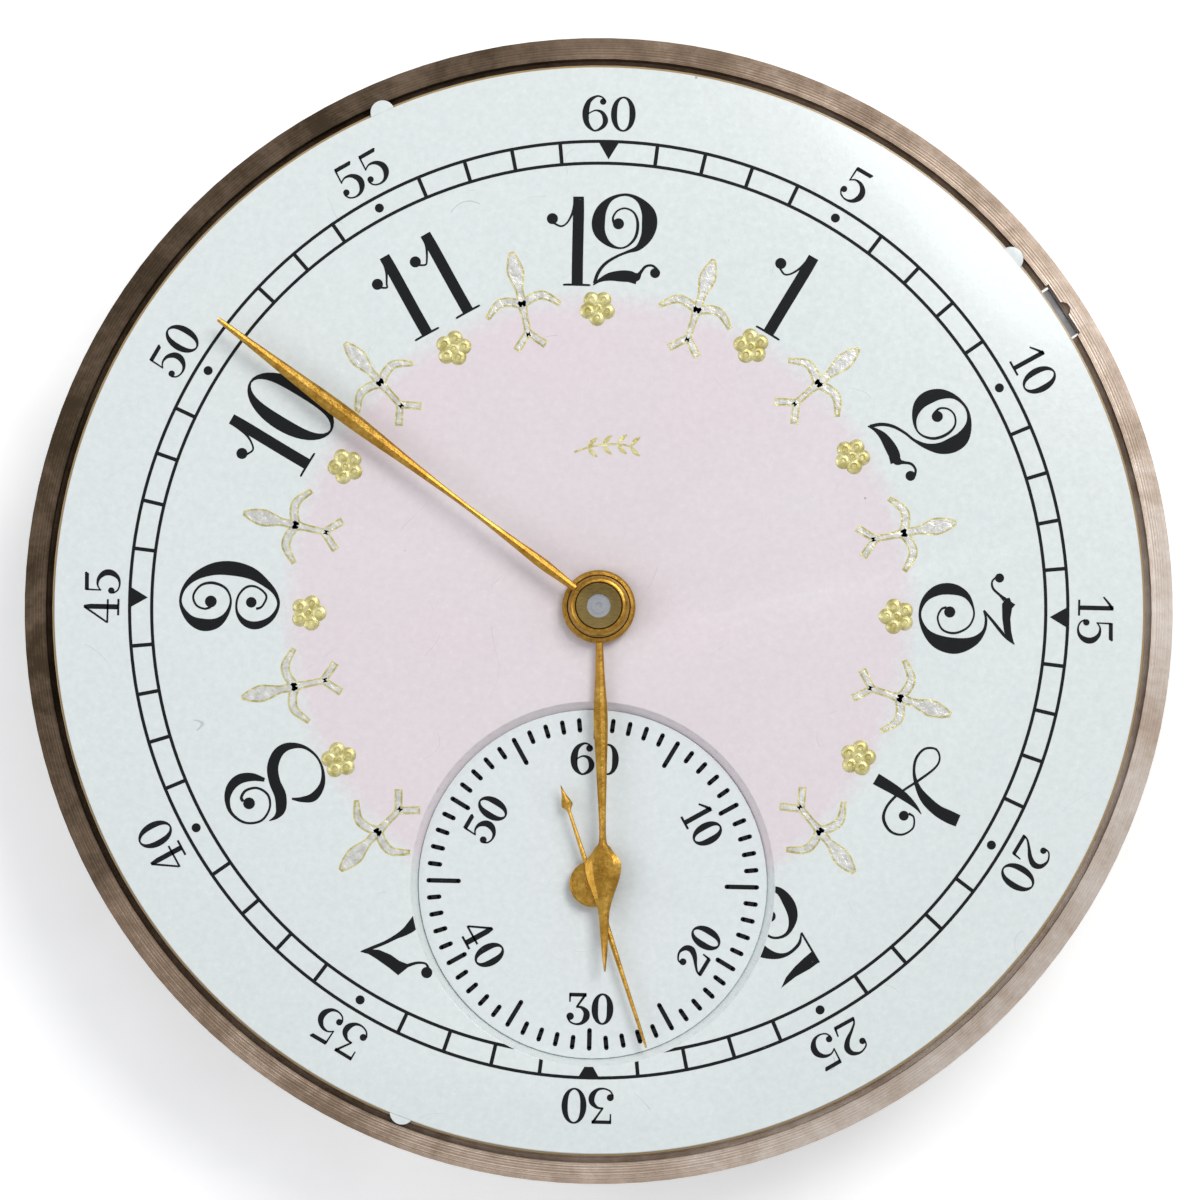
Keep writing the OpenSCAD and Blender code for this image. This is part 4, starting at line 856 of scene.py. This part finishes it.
gold_leaf = leaf_metal("fired gold leaf", (0.50, 0.42, 0.13), (0.86, 0.80, 0.42), 0.30)
silver_leaf = leaf_metal("fired silver leaf", (0.60, 0.60, 0.56), (0.90, 0.90, 0.86), 0.28)
outlines = Drawing()
sprigs = Drawing()
for hour, across, lean in ((12.5, 0.40, 2), (1.5, -0.40, 3), (2.5, 0.0, 2), (3.5, 0.10, 2), (4.5, -0.20, 4),
                           (7.5, -0.35, -2), (8.5, -0.2, 2), (9.5, -0.2, -3), (10.5, -0.1, 2),
                           (11.5, -0.1, 2)):
    x, y = on_clock(SPRIG_RADIUS, hour * 30)
    step = aside(across, hour * 30)
    for drawing, extra in ((outlines, 0.13), (sprigs, 0.0)):
        drawing.at(x + step.x, y + step.y, hour * 30 + lean)
        draw_sprig(drawing, extra)
twig = [(-1.05, -0.32), (-0.50, -0.12), (0.05, -0.02), (0.60, 0.02), (1.10, -0.06)]
outlines.at(0.0, 6.15)
outlines.pen([(x, y, 0.07) for x, y in twig])
for x, y in twig[1:]:
    for side in (-1, 1):
        outlines.pen([(x - 0.02, y, 0.05), (x + 0.12, y + side * 0.20, 0.17),
                      (x + 0.32, y + side * 0.36, 0.04)])
cut_window(outlines.painted("sprig_outlines", FACE, gold_leaf))
sprigs.painted("silver_sprigs", FACE, silver_leaf, SPRIG_HEIGHT)

flowers = []
for hour, across, out in ((12, -0.30, 0.10), (1, -0.20, 0.20), (2, -0.40, -0.10), (3, 0.10, 0.0),
                          (4, -0.20, 0.05),
                          (8, -0.35, 0.10), (9, -0.45, -0.30), (10, -0.40, -0.30), (11, -0.10, 0.0)):
    x, y = on_clock(FLOWER_RADIUS + out, hour * 30)
    step = aside(across, hour * 30)
    for petal in range(6):
        radius, reach = (0.30, 0.38) if petal < 5 else (0.24, 0.0)
        px, py = on_clock(reach, hour * 30 + 36 + petal * 72)
        domed = [(0, 0.035), (radius * 0.25, 0.035), (radius * 0.42, 0.085), (radius * 0.72, 0.075),
                 (radius, 0.012), (radius, -0.01), (0, -0.01)]
        flowers.append(turned("petal", domed, FACE / MM, (x + step.x + px, y + step.y + py), 18))
gold_flowers = joined("gold_flowers", *flowers)
give(gold_flowers, gold_leaf)
file_under(gold_flowers, "plate")


# ---- Gilt hands ----
# Sawn and filed from brass sheet and gilt, their upper edges bevelled: a whip for the minutes with its
# socket pressed on the cannon pinion, a spade for the hours, and a thin one with a spear tail for seconds.
def gilt(name):
    """Old gilding, worn brown in blotches."""
    material, tree, shader = new_material(name)
    place = object_place(tree)
    blotches = noise(tree, place, 0.9 * MM, 5, 0.65)
    specks = noise(tree, place, 0.16 * MM, 4, 0.7)
    worn = blend(tree, blotches, 0.6, specks, 0.4)
    stops = [(0.28, (0.19, 0.085, 0.012)), (0.50, (0.50, 0.27, 0.045)), (0.72, (0.80, 0.52, 0.13))]
    tree.links.new(steps(tree, worn, stops), shader.inputs["Base Color"])
    shader.inputs["Metallic"].default_value = 1.0
    tree.links.new(spread(tree, specks, 0.25, 0.75, 0.24, 0.42), shader.inputs["Roughness"])
    relief(tree, shader, specks, 0.012 * MM)
    return material


gilding = gilt("worn gilding")


def hand_sheet(name, stations, level, thickness, bevel_share, clock, centre=(0, 0)):
    """A hand along its stations, each a distance along it and half its width, its upper edges bevelled."""
    line = drawn_line(stations, 8)
    turn = Matrix.Translation((centre[0] * MM, centre[1] * MM, 0))
    turn = turn @ Matrix.Rotation(-math.radians(clock), 4, "Z")
    corners = []
    faces = []
    for along, half in line:
        half = max(half, NARROWEST)
        flat = half * (1 - bevel_share)
        section = [(-half, 0), (-half, thickness * 0.35), (-flat, thickness * 0.88), (0, thickness),
                   (flat, thickness * 0.88), (half, thickness * 0.35), (half, 0)]
        corners += [turn @ (Vector((x, along, 0)) * MM) + Vector((0, 0, level + z * MM))
                    for x, z in section]
    count = len(section)
    for row in range(len(line) - 1):
        for i in range(count):
            a = row * count + i
            b = row * count + (i + 1) % count
            faces.append([a, b, b + count, a + count])
    last = (len(line) - 1) * count
    faces += [list(range(count))[::-1], [last + i for i in range(count)]]
    mesh = bpy.data.meshes.new(name)
    mesh.from_pydata(corners, [], faces)
    piece = new_piece(name, mesh)
    edit_all()
    close_outwards()
    bpy.ops.object.shade_smooth_by_angle(angle=math.radians(12))
    return piece


def hand(planned, body, *pieces):
    """The pieces as one gilt hand, shown in place of the planned one."""
    whole = joined(planned + "_gilt", *pieces)
    give(whole, gilding)
    file_under(whole, body, planned)


NARROWEST = 0.012
HOUR_CLOCK = 177.8
MINUTE_CLOCK = 305.8
SECOND_CLOCK = 160.7
hour_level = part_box("hour_hand")[0].z
minute_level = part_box("minute_hand")[0].z + 0.05 * MM
second_level = 6.95 * MM
seconds_at = (SECONDS_PLACE.x / MM, SECONDS_PLACE.y / MM)

spade = hand_sheet("spade", [(1.25, 0.13), (2.6, 0.18), (4.24, 0.265), (6.4, 0.19), (8.60, 0.13),
                             (9.05, 0.30), (9.50, 0.62), (9.75, 0.68), (10.2, 0.60), (10.9, 0.36),
                             (11.4, 0.22), (12.0, 0.17), (13.0, 0.10), (13.66, 0.03)],
                   hour_level, 0.18, 0.42, HOUR_CLOCK)
boss = turned("boss", [(1.16, 0), (1.16, 0.20), (1.20, 0.25), (1.30, 0.24), (1.37, 0.17), (1.38, 0)],
              hour_level / MM)
hand("hour_hand", "hour", spade, boss)

whip = hand_sheet("whip", [(0.95, 0.125), (1.8, 0.17), (2.7, 0.21), (4.2, 0.15), (6.2, 0.10), (8.6, 0.17),
                           (11.8, 0.31), (14.4, 0.235), (16.6, 0.14), (17.36, 0.11), (17.9, 0.085)],
                  minute_level, 0.18, 0.36, MINUTE_CLOCK)
socket = turned("socket", [(0.86, -0.05), (0.86, 0.26), (0.90, 0.30), (0.98, 0.30), (1.07, 0.24),
                           (1.13, 0.12), (1.13, -0.05)], minute_level / MM)
hand("minute_hand", "center", whip, socket)

needle = hand_sheet("needle", [(0.5, 0.13), (2.0, 0.11), (4.0, 0.08), (5.6, 0.065), (6.44, 0.04)],
                    second_level, 0.12, 0.35, SECOND_CLOCK, seconds_at)
tail = hand_sheet("tail", [(0.5, 0.10), (1.6, 0.08), (2.7, 0.065), (2.92, 0.10), (3.08, 0.21), (3.22, 0.19),
                           (3.5, 0.09), (3.88, 0.012)],
                  second_level, 0.12, 0.35, SECOND_CLOCK + 180, seconds_at)
pipe = turned("pipe", [(0.14, -0.33), (0.14, 0.14), (0.26, 0.145), (0.30, 0.10), (0.80, 0.10), (0.87, 0.05),
                       (0.87, -0.04), (0.30, -0.04), (0.30, -0.33)], second_level / MM, seconds_at)
hand("seconds_hand", "fourth", needle, tail, pipe)


# ---- Bridges, train and keyless work ----
# Behind the dial: nickel bridges with ruled stripes, gilt brass wheels, steel arbors, blued screws and
# ruby jewels, each finished as a good movement of this grade was.
def striped_nickel(name):
    """Nickel with broad ruled stripes."""
    material, tree, shader = new_material(name)
    place = object_place(tree, turn=math.radians(24))
    bands = node(tree, "ShaderNodeTexWave", {"Vector": place, "Scale": 95.0, "Distortion": 0.4},
                 wave_profile="SIN").outputs["Fac"]
    fine = node(tree, "ShaderNodeTexWave", {"Vector": place, "Scale": 4200.0, "Distortion": 2.0},
                bands_direction="Y").outputs["Fac"]
    cloud = noise(tree, place, 3 * MM, 4, 0.6)
    tone = blend(tree, bands, 0.7, cloud, 0.3)
    tree.links.new(mix(tree, tone, (0.50, 0.48, 0.44), (0.80, 0.78, 0.73)), shader.inputs["Base Color"])
    shader.inputs["Metallic"].default_value = 0.95
    tree.links.new(spread(tree, tone, 0.1, 0.9, 0.36, 0.20), shader.inputs["Roughness"])
    relief(tree, shader, calculate(tree, "ADD", bands, calculate(tree, "MULTIPLY", fine, 0.15)), 0.006 * MM)
    return material


def plain_metal(name, dark, bright, roughness, grain_size=0.35 * MM):
    """Metal finished with fine straight grain, a little clouded."""
    material, tree, shader = new_material(name)
    place = object_place(tree, scale=(1, 6, 1))
    grain = noise(tree, place, grain_size, 4, 0.65)
    cloud = noise(tree, object_place(tree), 1.6 * MM, 3, 0.5)
    tone = blend(tree, grain, 0.5, cloud, 0.5)
    tree.links.new(mix(tree, spread(tree, tone, 0.3, 0.7), dark, bright), shader.inputs["Base Color"])
    shader.inputs["Metallic"].default_value = 1.0
    tree.links.new(spread(tree, grain, 0.2, 0.8, roughness + 0.12, roughness), shader.inputs["Roughness"])
    relief(tree, shader, grain, 0.004 * MM)
    return material


def ruby(name):
    """Polished ruby, clouded inside."""
    material, tree, shader = new_material(name)
    cloud = noise(tree, object_place(tree), 0.5 * MM, 3, 0.5)
    tree.links.new(mix(tree, cloud, (0.33, 0.005, 0.03), (0.72, 0.03, 0.10)), shader.inputs["Base Color"])
    tree.links.new(spread(tree, cloud, 0.2, 0.8, 0.05, 0.12), shader.inputs["Roughness"])
    shader.inputs["IOR"].default_value = 1.76
    shader.inputs["Coat Weight"].default_value = 0.6
    return material


bridge_nickel = striped_nickel("striped bridge nickel")
gilt_brass = plain_metal("gilt brass", (0.60, 0.43, 0.17), (0.86, 0.67, 0.33), 0.24)
dark_brass = plain_metal("tarnished brass", (0.10, 0.065, 0.02), (0.36, 0.26, 0.10), 0.36, 0.25 * MM)
steel = plain_metal("polished steel", (0.46, 0.47, 0.49), (0.70, 0.71, 0.74), 0.16)
blued = plain_metal("blued steel", (0.02, 0.04, 0.16), (0.06, 0.10, 0.34), 0.20)
rubies = ruby("ruby jewel")
timing_gold = plain_metal("gold of the timing screws", (0.62, 0.42, 0.14), (0.90, 0.68, 0.30), 0.18)
copper = plain_metal("dial copper", (0.42, 0.20, 0.11), (0.68, 0.36, 0.22), 0.32)

finishes = {
    bridge_nickel: ("barrel_bridge", "train_bridge", "pallet_cock", "balance_cock"),
    gilt_brass: ("center_wheel", "third_wheel", "fourth_wheel", "barrel_drum", "barrel_cover", "hour_wheel",
                 "minute_wheel", "escape_wheel", "balance_wheel"),
    dark_brass: ("cannon_pinion",),
    steel: ("center_pinion", "third_pinion", "fourth_pinion", "escape_pinion", "setting_wheel",
            "clutch_wheel", "setting_lever", "clutch_lever", "setting_cap", "minute_wheel_stud",
            "barrel_arbor", "ratchet_wheel",
            "crown_wheel", "crown_wheel_core", "winding_arbor", "winding_pinion", "winding_clutch", "click",
            "click_spring", "mainspring", "pallet_arbor", "pallet_fork", "balance_staff", "roller_table",
            "regulator", "hairspring_stud", "banking_pins"),
    blued: ("bridge_screws", "cock_screws", "click_screw", "ratchet_screw", "dial_foot_screws",
            "hairspring"),
    rubies: ("plate_jewels", "bridge_jewels", "cap_jewels", "pallet_stones", "impulse_jewel"),
    timing_gold: ("balance_screws",),
    copper: ("dial_feet",),
}
for finish, names in finishes.items():
    for name in names:
        give(nodes[name], finish)
